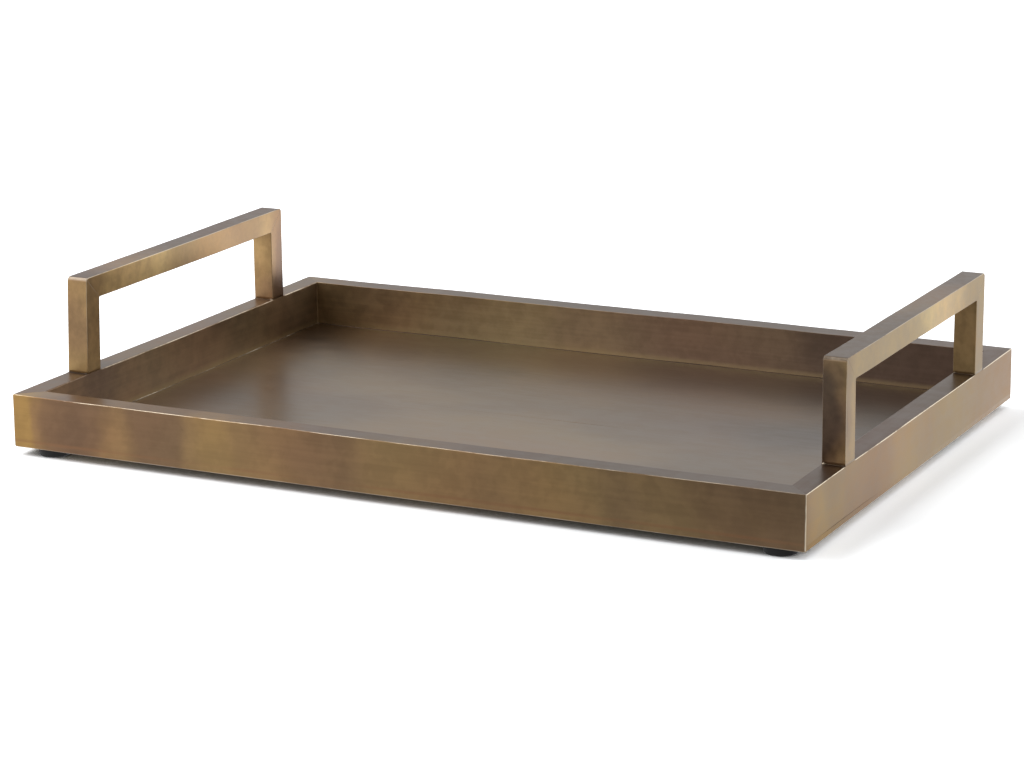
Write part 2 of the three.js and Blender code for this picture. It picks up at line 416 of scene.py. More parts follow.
def wear_group():
    """Worn is the wear attribute times a mask: a slow noise, three parts, and a quick one,
    one part, moved by Amount and cut by a smooth step."""
    group, given, made = new_group("worn edges", [("Amount", FLOAT, 0.5)], [("Worn", FLOAT)])
    attribute = add_node(group, "ShaderNodeAttribute", attribute_name="wear").outputs["Fac"]
    place = own_place(group)
    slow = math_node(group, "MULTIPLY", noise(group, place, SLOW_SCALE), SLOW_SHARE)
    quick = noise(group, place, QUICK_SCALE, 2.0, 0.6)
    quick = math_node(group, "MULTIPLY", quick, 1 - SLOW_SHARE)
    luck = math_node(group, "SUBTRACT", math_node(group, "ADD", slow, quick), 0.5)
    mask = remap(group, math_node(group, "ADD", luck, given["Amount"]), BARE_FROM, BARE_TO)
    feed(group, made, Worn=math_node(group, "MULTIPLY", attribute, mask, clamp=True))
    return group


WORN = wear_group()
print("worn edges has", len(WORN.nodes), "nodes")

# %% [markdown]
# How dark the oxide is can be told by one number, its tone. A piece has its own mean tone.
# The clouds move it. It drifts darker from the tray's left end to its right, which is painted
# shade, away from the lamps on the left. It is lower on faces that look up, which is painted
# shade on the tops.

# %% Tone group


def tone_group():
    """Tone plus Contrast times (Clouds less a half), plus Trend times the place's X in half
    lengths, less the top shade times (1 + its trend times X) on faces that look up. Both
    the trend and the top shade are painted shade."""
    group, given, made = new_group(
        "oxide tone",
        [("Clouds", FLOAT, 0.5), ("Tone", FLOAT, 0.5), ("Contrast", FLOAT, 0.5),
         ("Trend", FLOAT, 0.0), ("Top Loss", FLOAT, 0.5), ("Top Trend", FLOAT, 0.0)],
        [("Tone", FLOAT)],
    )
    x = math_node(group, "DIVIDE", along(group, own_place(group), "X"), half_length)
    clouds = math_node(group, "SUBTRACT", given["Clouds"], 0.5)
    tone = math_node(group, "MULTIPLY_ADD", clouds, given["Contrast"])
    feed(group, tone.node, n2=given["Tone"])
    tone = math_node(group, "ADD", tone, math_node(group, "MULTIPLY", x, given["Trend"]))
    normal = add_node(group, "ShaderNodeTexCoord").outputs["Normal"]
    upward = math_node(group, "MAXIMUM", along(group, normal, "Z"), 0.0)
    growth = math_node(group, "ADD", math_node(group, "MULTIPLY", x, given["Top Trend"]), 1.0)
    upward_shade = math_node(group, "MULTIPLY", given["Top Loss"], growth)
    upward_shade = math_node(group, "MULTIPLY", upward_shade, upward)
    feed(group, made, Tone=math_node(group, "SUBTRACT", tone, upward_shade))
    return group


OXIDE_TONE = tone_group()
print("tone runs over X in units of", half_length, "m")

# %% [markdown]
# Where the torch stood longer, by a joint or a mitre, the oxide turned darker or more
# golden. The same marks also paint light and shade: shade in a corner and a reflection on
# the floor. A mark is a ball round a centre. A clean ball would look drawn on, so its place
# is shaken by noise first, and squeezed in height, which makes it a tall uneven cloud.

# %% Torch groups, also for painted light and shade
MARK_SQUEEZE = (1.0, 1.0, 0.5)
MARK_SHAKE = (0.018, 0.0, 0.018)
SHAKE_SCALE = 40.0
MARK_CORE = 0.1


def shaken_place_group():
    """The place plus (a coloured noise less a half) times the shake, times the squeeze."""
    group, _, made = new_group("shaken place", [], [("Place", VECTOR)])
    place = own_place(group)
    colours = add_node(group, "ShaderNodeTexNoise")
    feed(group, colours, Vector=place, Scale=SHAKE_SCALE, Detail=2.0)
    centred = vector_node(group, "SUBTRACT", colours.outputs["Color"], (0.5, 0.5, 0.5))
    shaken = vector_node(group, "MULTIPLY_ADD", centred, MARK_SHAKE, place)
    feed(group, made, Place=vector_node(group, "MULTIPLY", shaken, MARK_SQUEEZE))
    return group


def torch_and_light_mark_group():
    """Tone plus Strength within the core, a tenth of the radius, fading by a smooth step to
    nothing at Radius."""
    group, given, made = new_group(
        "torch and light mark",
        [("Tone", FLOAT, 0.5), ("Place", VECTOR, (0, 0, 0)), ("Centre", VECTOR, (0, 0, 0)),
         ("Radius", FLOAT, 0.03), ("Strength", FLOAT, 0.2)],
        [("Tone", FLOAT)],
    )
    centre = vector_node(group, "MULTIPLY", given["Centre"], MARK_SQUEEZE)
    away = vector_node(group, "DISTANCE", given["Place"], centre)
    core = math_node(group, "MULTIPLY", given["Radius"], MARK_CORE)
    mark = remap(group, away, core, given["Radius"], given["Strength"], 0.0)
    feed(group, made, Tone=math_node(group, "ADD", given["Tone"], mark))
    return group


SHAKEN_PLACE, TORCH_AND_LIGHT_MARK = shaken_place_group(), torch_and_light_mark_group()
print("a mark is shaken by up to", MARK_SHAKE[0] / MM, "mm either way")

# %% [markdown]
# A tone becomes a colour by way of a ramp: umber, brown, tan, gold. The warm ramp is for
# the front and the right rail. The greyer ramp is a shaded copy of it, painted shade for the
# back and left rails inside the well. The dark joint ramp is braze oxide and painted shade in
# the creases, and the floor was rubbed back to a pale brown with a satin pad.

# %% Oxide colours


def oxide_group(name, stops):
    """Colour for a tone from 0 to 1: a ramp through (position, colour) stops."""
    group, given, made = new_group(name, [("Tone", FLOAT, 0.5)], [("Colour", COLOUR)])
    ramp = add_node(group, "ShaderNodeValToRGB")
    ramp.color_ramp.interpolation = "EASE"
    while len(ramp.color_ramp.elements) < len(stops):
        ramp.color_ramp.elements.new(0.5)
    for element, (position, colour) in zip(ramp.color_ramp.elements, stops):
        element.position = position
        element.color = (*colour, 1)
    feed(group, made, Colour=feed(group, ramp, n0=given["Tone"]).outputs[0])
    return group


WARM_OXIDE = oxide_group("warm oxide", [
    (0.0, (0.100, 0.064, 0.044)), (0.35, (0.165, 0.102, 0.058)),
    (0.65, (0.235, 0.148, 0.070)), (1.0, (0.310, 0.200, 0.070)),
])
GOLD_OXIDE = oxide_group("gold oxide", [
    (0.0, (0.100, 0.064, 0.044)), (0.3, (0.165, 0.102, 0.058)), (0.55, (0.235, 0.150, 0.075)),
    (0.75, (0.305, 0.202, 0.090)), (1.0, (0.500, 0.350, 0.160)),
])
SHADED_OXIDE = oxide_group("shaded oxide", [
    (0.0, (0.110, 0.078, 0.060)), (0.35, (0.175, 0.119, 0.081)),
    (0.65, (0.245, 0.166, 0.100)), (1.0, (0.320, 0.222, 0.120)),
])
FLOOR_OXIDE = oxide_group("floor oxide", [
    (0.0, (0.082, 0.064, 0.050)), (0.5, (0.145, 0.099, 0.063)), (1.0, (0.212, 0.142, 0.080)),
])
# Dark braze oxide, which also paints the shade in the creases: along the floor and at the posts' feet.
JOINT_OXIDE_AND_CREASE_SHADE = oxide_group("joint oxide and crease shade", [
    (0.0, (0.040, 0.028, 0.021)), (1.0, (0.130, 0.085, 0.050)),
])
print("oxides:", [g.name for g in (WARM_OXIDE, GOLD_OXIDE, SHADED_OXIDE, FLOOR_OXIDE, JOINT_OXIDE_AND_CREASE_SHADE)])

# %% [markdown]
# On top of its tone the oxide shifts a little in hue, towards copper in one place and
# olive in another, and the mottle and the lines of the abrasive make it lighter or darker.

# %% Shade group
COPPER_HUE = (1.05, 0.97, 0.93, 1)
OLIVE_HUE = (0.98, 1.02, 0.96, 1)
MOTTLE_SHADE, STREAK_SHADE = (-0.06, 0.05), (-0.04, 0.04)


def shade_group():
    """Colour times a hue between copper and olive, times 1 plus Depth times (the mottle and
    the streaks, both about 0). Hue Trend makes the hue drift from the left end to the
    right, by that much for each half length."""
    group, given, made = new_group(
        "oxide shade",
        [("Colour", COLOUR, (0.2, 0.1, 0.1, 1)), ("Hue", FLOAT, 0.5), ("Mottle", FLOAT, 0.5),
         ("Streaks", FLOAT, 0.5), ("Depth", FLOAT, 1.0), ("Hue Trend", FLOAT, 0.0)],
        [("Colour", COLOUR)],
    )
    x = math_node(group, "DIVIDE", along(group, own_place(group), "X"), half_length)
    drift = math_node(group, "MULTIPLY", x, given["Hue Trend"])
    drift = math_node(group, "ADD", given["Hue"], drift, clamp=True)
    hue = blend_colour(group, drift, COPPER_HUE, OLIVE_HUE)
    colour = blend_colour(group, 1.0, given["Colour"], hue, "MULTIPLY")
    mottle = remap(group, given["Mottle"], 0, 1, *MOTTLE_SHADE)
    streaks = remap(group, given["Streaks"], *NOISE_SPREAD, *STREAK_SHADE)
    change = math_node(group, "MULTIPLY", math_node(group, "ADD", mottle, streaks), given["Depth"])
    shade = math_node(group, "ADD", change, 1.0)
    grey = add_node(group, "ShaderNodeCombineColor")
    feed(group, grey, Red=shade, Green=shade, Blue=shade)
    feed(group, made, Colour=blend_colour(group, 1.0, colour, grey.outputs[0], "MULTIPLY"))
    return group


OXIDE_SHADE = shade_group()
print("mottle and lines change the oxide by", MOTTLE_SHADE, STREAK_SHADE)

# %% [markdown]
# The wall is brazed to the plate. Along that joint the heat left a faint red band on the
# joint itself, where copper came to the surface. Above it lies a golden band of painted
# reflection: the floor's light, mirrored at the foot of the wall.

# %% Seam group
COPPER_BAND = (0.215, 0.105, 0.050, 1)
PAINTED_GOLD_REFLECTION = (0.330, 0.245, 0.125, 1)
WAVER = 1.2 * MM
COPPER_FADE, REFLECTION_FADE = (0.1 * MM, 1.5 * MM), (0.8 * MM, 4.0 * MM)
THIN_PLACES = (0.36, 0.6)
THINNEST = 0.25


def seam_group():
    """Blends in copper within about a millimetre of the joint's height, which wavers along
    the joint, and a painted golden reflection above the joint, fading out by 4 mm. A slow
    noise thins the copper."""
    group, given, made = new_group(
        "braze seam",
        [("Colour", COLOUR, (0.2, 0.1, 0.1, 1)), ("Copper", FLOAT, 0.5), ("Gold", FLOAT, 0.0)],
        [("Colour", COLOUR)],
    )
    place = own_place(group)
    above = math_node(group, "SUBTRACT", along(group, place, "Z"), plate_top)
    waver = math_node(group, "MULTIPLY", noise(group, place, 30.0, 3.0), WAVER)
    away = math_node(group, "ABSOLUTE", math_node(group, "SUBTRACT", above, waver))
    thin = remap(group, noise(group, place, 14.0, 1.0), *THIN_PLACES, THINNEST, 1.0)
    copper = math_node(group, "MULTIPLY", remap(group, away, *COPPER_FADE, 1, 0), thin)
    copper = math_node(group, "MULTIPLY", copper, given["Copper"])
    # Painted reflection: the golden band above the joint.
    gold = math_node(group, "MULTIPLY", remap(group, above, *REFLECTION_FADE, 1, 0), given["Gold"])
    colour = blend_colour(group, gold, given["Colour"], PAINTED_GOLD_REFLECTION)
    feed(group, made, Colour=blend_colour(group, copper, colour, COPPER_BAND))
    return group


BRAZE_SEAM = seam_group()
print("the seam lies at height", round(plate_top / MM, 2), "mm")

# %% [markdown]
# The sheen is satin. The mottle and the lines change it a little from place to place, and
# both stand in relief by a few hundredths of a millimetre, which breaks up reflections.

# %% Satin group
MOTTLE_ROUGH, STREAK_ROUGH = 0.025, 0.02
STREAK_HEIGHT, MOTTLE_HEIGHT = 0.5, 0.8


def satin_group():
    """Roughness is Gloss plus small shares of the mottle and the streaks; Height is the sum
    of half the streaks and four fifths of the mottle."""
    group, given, made = new_group(
        "satin",
        [("Gloss", FLOAT, 0.35), ("Mottle", FLOAT, 0.5), ("Streaks", FLOAT, 0.5)],
        [("Roughness", FLOAT), ("Height", FLOAT)],
    )
    mottle = remap(group, given["Mottle"], 0, 1, -MOTTLE_ROUGH, MOTTLE_ROUGH)
    streaks = remap(group, given["Streaks"], *NOISE_SPREAD, -STREAK_ROUGH, STREAK_ROUGH)
    rough = math_node(group, "ADD", math_node(group, "ADD", given["Gloss"], mottle), streaks)
    lines = math_node(group, "MULTIPLY", given["Streaks"], STREAK_HEIGHT)
    bumps = math_node(group, "MULTIPLY", given["Mottle"], MOTTLE_HEIGHT)
    feed(group, made, Roughness=rough, Height=math_node(group, "ADD", lines, bumps))
    return group


SATIN = satin_group()
print("shader groups:", [group.name for group in bpy.data.node_groups])

# %% [markdown]
# ## Brass
# Aged brass is a metal under a thin brown oxide, sealed with lacquer. It could be painted
# from an image, but then it would have one size and one place. Here it is put together
# from the groups: tone, marks of the torch, colour, shade, seam and wear, and the lacquer is
# a coat, which greys the faces that are seen at a low angle. The tone, the marks and the
# seam also paint light and shade: shade towards the right, on the tops and in a corner, and
# a reflection on the floor and at the foot of the inner walls.

# %% Brass finish
BARE_BRASS = (0.84, 0.74, 0.58, 1)
LACQUER_ROUGHNESS = 0.32
RELIEF, RELIEF_STRENGTH = 0.1 * MM, 0.08


def shader_tree(name):
    """A new material, its node tree and its Principled shader."""
    material = bpy.data.materials.new(name)
    material.use_nodes = True
    return material, material.node_tree, material.node_tree.nodes["Principled BSDF"]


def brass_finish(name, oxide=WARM_OXIDE, tone=0.5, contrast=0.55, trend=0.0, marks=(),
                 stretch=(1, 1, 1), grain=(300, 300, 300), depth=1.0, gloss=0.34, wear=0.5,
                 coat=0.1, top_loss=0.55, top_trend=0.0, hue_trend=0.0, metal=0.90, shine=0.5,
                 copper=0.0, gold=0.0):
    """Aged brass: a tone with its marks of the torch and its painted light and shade, turned
    to a colour by the oxide, shaded, banded along the seam, with a painted reflection above
    it where asked, and bared where it is worn. Metal is the share of the surface that isn't
    covered by scattering oxide, and shine the gloss of that oxide."""
    material, tree, shader = shader_tree(name)
    patina = use_group(tree, PATINA, Stretch=stretch)
    streaks = use_group(tree, GRAIN, Stretch=grain)["Streaks"]
    value = use_group(tree, OXIDE_TONE, Clouds=patina["Clouds"], Tone=tone, Contrast=contrast,
                      Trend=trend, Top_Loss=top_loss, Top_Trend=top_trend)["Tone"]
    shaken = use_group(tree, SHAKEN_PLACE)["Place"]
    for centre, radius, strength in marks:
        value = use_group(tree, TORCH_AND_LIGHT_MARK, Tone=value, Place=shaken, Centre=centre,
                          Radius=radius, Strength=strength)["Tone"]
    colour = use_group(tree, oxide, Tone=value)["Colour"]
    colour = use_group(tree, OXIDE_SHADE, Colour=colour, Hue=patina["Hue"], Streaks=streaks,
                       Mottle=patina["Mottle"], Depth=depth, Hue_Trend=hue_trend)["Colour"]
    colour = use_group(tree, BRAZE_SEAM, Colour=colour, Copper=copper, Gold=gold)["Colour"]
    worn = use_group(tree, WORN, Amount=wear)["Worn"]
    satin = use_group(tree, SATIN, Gloss=gloss, Mottle=patina["Mottle"], Streaks=streaks)
    bump = add_node(tree, "ShaderNodeBump")
    feed(tree, bump, Strength=RELIEF_STRENGTH, Distance=RELIEF, Height=satin["Height"])
    feed(tree, shader, Base_Color=blend_colour(tree, worn, colour, BARE_BRASS),
         Roughness=satin["Roughness"], Normal=bump.outputs[0], Metallic=metal,
         Coat_Weight=coat, Coat_Roughness=LACQUER_ROUGHNESS, Specular_IOR_Level=shine)
    return material


# %% [markdown]
# Each mark below is a centre, a radius and a strength. The torch's marks stand near the
# ends of the joints, where heat gathers, and a maker would make others on the next tray.
# The left and back marks also paint shade in the back left corner, and the floor's marks
# are painted reflection: lighter in the middle, darker by the walls.

# %% Torch marks, painted shade and painted reflection
front_y, inner_x, wall_middle = -half_width, rail_width - half_length, 0.5 * (rim + plate_top)
FRONT_MARKS = [
    ((-0.226, front_y, 0.022), 0.018, 0.42), ((-0.192, front_y, 0.014), 0.032, -0.50),
    ((-0.141, front_y, 0.020), 0.034, -0.24), ((-0.104, front_y, 0.020), 0.028, 0.25),
    ((0.020, front_y, 0.018), 0.045, 0.10), ((0.100, front_y, 0.024), 0.040, 0.15),
]
RIGHT_MARKS = [((half_length, -0.145, 0.014), 0.024, 0.30),
               ((half_length, -0.06, 0.03), 0.03, -0.12)]
# Painted shade: the left wall's second mark and the back mark darken the back left corner.
LEFT_TORCH_AND_SHADE_MARKS = [((inner_x, -0.09, 0.012), 0.035, -0.25), ((inner_x, 0.12, 0.02), 0.05, -0.05)]
BACK_CORNER_SHADE = [((-0.18, half_width - rail_width, wall_middle), 0.05, -0.25)]
HANDLE_MARKS = [
    ((inner_x, -0.058, 0.095), 0.048, 0.60), ((inner_x, 0.065, 0.085), 0.040, -0.10),
    ((inner_x + 0.006, 0.112, 0.055), 0.030, -0.70), ((-0.222, 0.088, 0.058), 0.016, 0.25),
    ((-0.226, -0.110, 0.060), 0.014, -0.30), ((-0.219, -0.115, 0.048), 0.014, -0.15),
    ((0.214, -0.112, 0.060), 0.024, -1.00), ((half_length, 0.02, 0.083), 0.110, 0.22),
]
# Painted reflection: the floor is lighter in the middle and darker by the walls, as if it mirrored the
# room and the walls.
FLOOR_PAINTED_REFLECTION = [
    ((0.00, -0.06, plate_top), 0.16, 0.45), ((-0.10, 0.12, plate_top), 0.10, -0.50),
    ((0.05, 0.13, plate_top), 0.10, -0.40), ((-0.18, -0.02, plate_top), 0.06, -0.30),
    ((0.19, 0.02, plate_top), 0.10, -0.25),
]
# The count takes in the painted shade and the floor's painted reflection.
print("torch marks:", len(FRONT_MARKS + RIGHT_MARKS + LEFT_TORCH_AND_SHADE_MARKS + HANDLE_MARKS + FLOOR_PAINTED_REFLECTION))

# %% [markdown]
# The abrasive went along each rail, so the grain is drawn out along X or along Y. The
# handles were worked from all sides, and their stretch makes taller, narrower clouds.

# %% Brass of each piece
ALONG_X, ALONG_Y = (12, 500, 500), (500, 12, 500)
# Painted shade: the trend darkens the front, the back and the floor towards the right, and the loss of
# tone on upward faces darkens the tops.
front_brass = brass_finish("front_brass", tone=0.53, contrast=0.22, trend=-0.16, copper=0.5,
                           marks=FRONT_MARKS, grain=ALONG_X, top_loss=0.4, top_trend=1.3,
                           hue_trend=0.7, coat=0.12)
# The back and left rails take the shaded oxide, painted shade inside the well, and a painted golden
# reflection at the foot of the wall.
back_brass = brass_finish("back_brass", SHADED_OXIDE, tone=0.54, contrast=0.25, trend=-0.75,
                          marks=BACK_CORNER_SHADE, grain=ALONG_X, metal=0.82, coat=0.08, shine=0.2,
                          gold=0.45, top_loss=0.75, depth=1.5)
left_brass = brass_finish("left_brass", SHADED_OXIDE, tone=0.68, contrast=0.25,
                          marks=LEFT_TORCH_AND_SHADE_MARKS, grain=ALONG_Y, metal=0.80, coat=0.05, shine=0.2,
                          gold=0.6, top_loss=0.35, depth=1.5)
right_brass = brass_finish("right_brass", tone=0.70, contrast=0.25, marks=RIGHT_MARKS,
                           grain=ALONG_Y, top_loss=0.85, wear=0.6, coat=0.0, metal=0.97)
handle_brass = brass_finish("handle_brass", GOLD_OXIDE, tone=0.68, contrast=0.24,
                            marks=HANDLE_MARKS, top_loss=0.75, wear=0.6, metal=0.72,
                            shine=0.3, stretch=(1.5, 1.2, 1.0), depth=1.4, hue_trend=0.4)
floor_brass = brass_finish("floor_brass", FLOOR_OXIDE, contrast=0.45, trend=-0.2,
                           marks=FLOOR_PAINTED_REFLECTION, stretch=(0.5, 0.8, 1), grain=(10, 600, 600),
                           gloss=0.33, coat=0.42, top_loss=0.0, metal=0.97)
# The braze and the floor's fillet are dark: braze oxide, and painted shade in the crease.
braze_brass = brass_finish("braze_brass", JOINT_OXIDE_AND_CREASE_SHADE, tone=0.55, gloss=0.5, coat=0.0,
                           top_loss=0.3)
fillet_brass = brass_finish("fillet_brass", JOINT_OXIDE_AND_CREASE_SHADE, tone=0.2, gloss=0.5, coat=0.0,
                            top_loss=0.0)
print("brass finishes:", [m.name for m in bpy.data.materials if m.name.endswith("brass")])

# %% [markdown]
# ## Tube with soft edges
# Rails, grips and posts are all tube, and all of them belong to a mitred frame: the rails
# to the tray's, the grip and posts to a handle's. So one function makes them all. A soft
# rectangle is carried along one side of a frame with round corners, and the section's
# end points run round half of each corner, which leaves the cut on the mitre.

# %% Section with soft corners
ARC_STEPS = 5
SUPPORT = 0.1 * MM


def soft_section(width, depth, softness, weights, face_steps=(8, 5)):
    """Insets, depths and wear for a rectangle's outline at every station.

    The outline runs from inset 0, depth 0 up to depth, across to width, and back. At each
    corner a quarter circle of the station's own softness turns it: its centre lies one
    radius back along the incoming side and one along the outgoing side. Each flat has a
    point close to each of its ends, so its shading stays flat. Wear is the corner's
    weight times the square of sin 2t, where t is the angle turned."""
    corners = np.array([[0, 0], [0, depth], [width, depth], [width, 0]])
    leaving = np.array([[0, 1], [1, 0], [0, -1], [-1, 0]])
    turn = np.linspace(0, np.pi / 2, ARC_STEPS + 1)
    outline, wear = [], []
    for i in range(4):
        coming, going = leaving[i - 1], leaving[i]
        radius = softness[:, i, None, None]
        centre = corners[i] - radius * coming + radius * going
        cosine, sine = np.cos(turn)[:, None], np.sin(turn)[:, None]
        outline.append(centre - radius * cosine * going + radius * sine * coming)
        wear.append(weights[:, i, None] * np.sin(2 * turn) ** 2)
        following = (i + 1) % 4
        start = corners[i] + softness[:, i, None, None] * going
        end = corners[following] - softness[:, following, None, None] * going
        flat = depth if i % 2 == 0 else width
        steps = face_steps[i % 2]
        shares = np.linspace(SUPPORT / flat, 1 - SUPPORT / flat, steps)[:, None]
        outline.append(start + (end - start) * shares)
        wear.append(np.zeros((len(softness), steps)))
    outline = np.concatenate(outline, axis=1)
    return outline[..., 0], outline[..., 1], np.concatenate(wear, axis=1)


one_ring = soft_section(rail_width, rim - plate_top, np.full((1, 4), MM), np.ones((1, 4)))[0]
print("a rail's section has", one_ring.shape[1], "points")

# %% [markdown]
# A bar runs along one side of its frame. At a mitre its rings have to fan out: from square
# to the bar, to the slant of the cut. If they all slanted, a twist would show along the
# bar, so the slant dies out over a few centimetres.

# %% Bar along one side of a frame
FAN_LENGTH = 40 * MM
CORNER_STEPS = 5


def stations(length, mitred, spacing):
    """Places along a bar, from 0 to its length, and the signed angle that the path has
    turned there: up to an eighth of a turn in the half corner at a mitred end."""
    count = int(length / spacing) + 1
    places = np.linspace(0, length, count)
    turn = np.zeros(count)
    half_corner = np.linspace(0, np.pi / 4, CORNER_STEPS + 1)[1:]
    if mitred[0]:
        places = np.concatenate([np.zeros(CORNER_STEPS), places])
        turn = np.concatenate([-half_corner[::-1], turn])
    if mitred[1]:
        places = np.concatenate([places, np.full(CORNER_STEPS, length)])
        turn = np.concatenate([turn, half_corner])
    return places, turn


def bar_grid(places, turn, length, mitred, inset, width, rounds):
    """Along and out for points at an inset from the frame's outer edge.

    At a mitred end the straight part starts one inset plus one corner radius in, and the
    shift dies out over the fan length, so rings are square to the bar away from its ends.
    The corner radius goes from rounds[0] outside to rounds[1] inside. A turned ring lies
    on the corner's arc: along by radius times sin, and in by radius times 1 - cos."""
    radius = rounds[0] + (rounds[1] - rounds[0]) * inset / width
    near_start = np.clip(1 - places / FAN_LENGTH, 0, 1)[:, None] ** 2
    near_end = np.clip(1 - (length - places) / FAN_LENGTH, 0, 1)[:, None] ** 2
    along = np.repeat(places[:, None], inset.shape[1], axis=1)
    if mitred[0]:
        along = along + (inset + radius) * near_start
    if mitred[1]:
        along = along - (inset + radius) * near_end
    along = along + radius * np.sin(turn)[:, None]
    out = -inset - radius * (1 - np.cos(turn))[:, None]
    return along, out


print("a grip has", len(stations(2 * half_span, (True, True), 2.4 * MM)[0]), "rings")

# %% [markdown]
# The softness of each edge wanders between a crisp corner and a rounder one, because the
# edges were broken by hand with a file. Where a post stands on a rail, the rail's top
# edges stay sharp, so the two faces run flush into each other.

# %% Softness along an edge
POST_FADE = 1.6 * MM
UNDER_POST = 0.02 * MM
SLOW_DRIFT = 0.6
QUICKER = 3.1


def uneven(places, seed, low, high):
    """A value between low and high: the middle plus half the range times slow waves, six
    tenths, and waves about three times as quick, four tenths."""
    drift = SLOW_DRIFT * waves(places, seed)
    drift = drift + (1 - SLOW_DRIFT) * waves(QUICKER * places, seed + 50)
    return low + (high - low) * (0.5 + 0.5 * drift)


def under_posts(places, edges):
    """1 between each pair of edges, 0 further than the fade from them, and a smooth step."""
    share = np.zeros_like(places)
    for low, high in edges:
        outside = np.maximum(low - places, places - high)
        step = np.clip(1 - outside / POST_FADE, 0, 1)
        share = np.maximum(share, step * step * (3 - 2 * step))
    return share


along_rail = np.linspace(0, 2 * half_width, 100)
print("an edge's radius in mm:", (uneven(along_rail, 1, 0.3, 0.75)[::25]).round(2))

# %% [markdown]
# Everything comes together in one function: stations, softness, section, wear, and the
# frame's corner. The handles and the rails differ only in the numbers that it is given.

# %% Soft bar
OUTER_FACE = 0.2 * MM


def soft_bar(name, length, width, depth, mitred, rounds, seed, place, edge_wear,
             softness=(0.3 * MM, 0.75 * MM), posts=(), face_steps=(8, 5), corner_wear=(0.3, 0.3),
             wear_trend=(1.0, 1.0), crisp=1.0, spacing=2.4 * MM):
    """A bar of a frame as a piece. Place turns (along, out, depth) into tray points.

    Edge_wear has a weight for each of the section's corners: outer low, outer high, inner
    high, inner low. Wear_trend multiplies them from start to end. Posts are (start, end)
    pairs along the bar that a post covers. Crisp shrinks the two low corners."""
    places, turn = stations(length, mitred, spacing)
    covered = under_posts(places, posts)
    radii = np.stack([uneven(places, seed + i, *softness) for i in range(4)], axis=1)
    radii[:, [0, 3]] *= crisp
    for i in (1, 2):
        radii[:, i] += (UNDER_POST - radii[:, i]) * covered
    trend = wear_trend[0] + (wear_trend[1] - wear_trend[0]) * places / length
    weights = np.array(edge_wear) * trend[:, None]
    weights[:, 1:3] *= 1 - covered[:, None]
    inset, height, wear = soft_section(width, depth, radii, weights, face_steps)
    along, out = bar_grid(places, turn, length, mitred, inset, width, rounds)
    ends = np.where(turn < 0, corner_wear[0], corner_wear[1])
    turned = (ends * np.sin(2 * np.abs(turn)) ** 2)[:, None] * (inset < OUTER_FACE)
    grid = hand_made(place(along, out, height))
    return tube_piece(name, grid, np.maximum(wear, turned))


# %% [markdown]
# ## Rails
# Four rails make the tray's wall. Each stands on the plate with its outer face flush with
# the plate's edge. The corners are ground to a small radius outside, and inside a thread
# of braze fills them.

# %% Place of a rail


def on_side(normal, tangent, distance, start, base):
    """Maps (along, out, depth) of a wall: along runs with the tangent from start, out goes
    with the normal from the given distance, and depth is height above base."""
    normal, tangent = np.array([*normal, 0.0]), np.array([*tangent, 0.0])

    def place(along, out, depth):
        flat = (start + along)[..., None] * tangent + (distance + out)[..., None] * normal
        return flat + (base + depth)[..., None] * np.array([0, 0, 1.0])

    return place


# %% [markdown]
# Each side has its outward direction, the direction of travel, the distance of its face
# and its half length. What differs besides is the wear: the front and the right rail are
# handled most, and the back rail's edges were left sharp.

# %% Rails
RAIL_ROUNDS = (0.8 * MM, 0.5 * MM)
RAIL_CRISP = 0.04
SIDES = {
    "front": ((0, -1), (1, 0), half_width, half_length),
    "back": ((0, 1), (-1, 0), half_width, half_length),
    "right": ((1, 0), (0, 1), half_length, half_width),
    "left": ((-1, 0), (0, -1), half_length, half_width),
}
RUBBED = {
    "front": dict(edge_wear=(0.0, 0.8, 0.1, 0.0), wear_trend=(1.0, 0.35), corner_wear=(0.2, 0.85),
                  softness=(0.2 * MM, 0.5 * MM)),
    "right": dict(edge_wear=(0.0, 1.0, 0.2, 0.0), corner_wear=(0.85, 0.4)),
    "back": dict(edge_wear=(0.0, 0.3, 0.15, 0.0), softness=(0.1 * MM, 0.3 * MM)),
    "left": dict(edge_wear=(0.0, 0.3, 0.9, 0.0)),
}
RAIL_FINISH = {"front": front_brass, "back": back_brass, "left": left_brass,
               "right": right_brass}
post_start = half_width - half_span
post_edges = [(post_start, post_start + bar_width),
              (2 * half_width - post_start - bar_width, 2 * half_width - post_start)]

for number, (side, (normal, tangent, distance, half)) in enumerate(SIDES.items()):
    rail = soft_bar(
        f"{side}_rail_brass", 2 * half, rail_width, rim - plate_top, (True, True), RAIL_ROUNDS,
        seed=100 + 10 * number, place=on_side(normal, tangent, distance, -half, plate_top),
        posts=post_edges if side in ("left", "right") else (), crisp=RAIL_CRISP, **RUBBED[side],
    )
    finish_piece(rail, RAIL_FINISH[side], "antique_brass", f"{side}_rail")

# %% [markdown]
# ## Handles
# A handle is an upturned frame of the same tube: a grip and two posts, mitred at the top
# corners and cut square on the rail.

# %% Place of a handle's bar


def on_handle(side_sign, normal, tangent, start, distance):
    """Maps (along, out, depth) of a handle's bar. Its frame lies in the Y-Z plane, given as
    (y, z) pairs, and depth runs inwards from the rail's outer face."""
    normal, tangent = np.array([0.0, *normal]), np.array([0.0, *tangent])
    origin = np.array([side_sign * half_length, 0.0, rim])

    def place(along, out, depth):
        flat = (start + along)[..., None] * tangent + (distance + out)[..., None] * normal
        return origin + flat - side_sign * depth[..., None] * np.array([1.0, 0, 0])

    return place


# %% [markdown]
# The grip lies across the top of the frame, between two mitres. A post is one upright, from
# the rail to its mitre. Hands polish the grip's inner edge most.

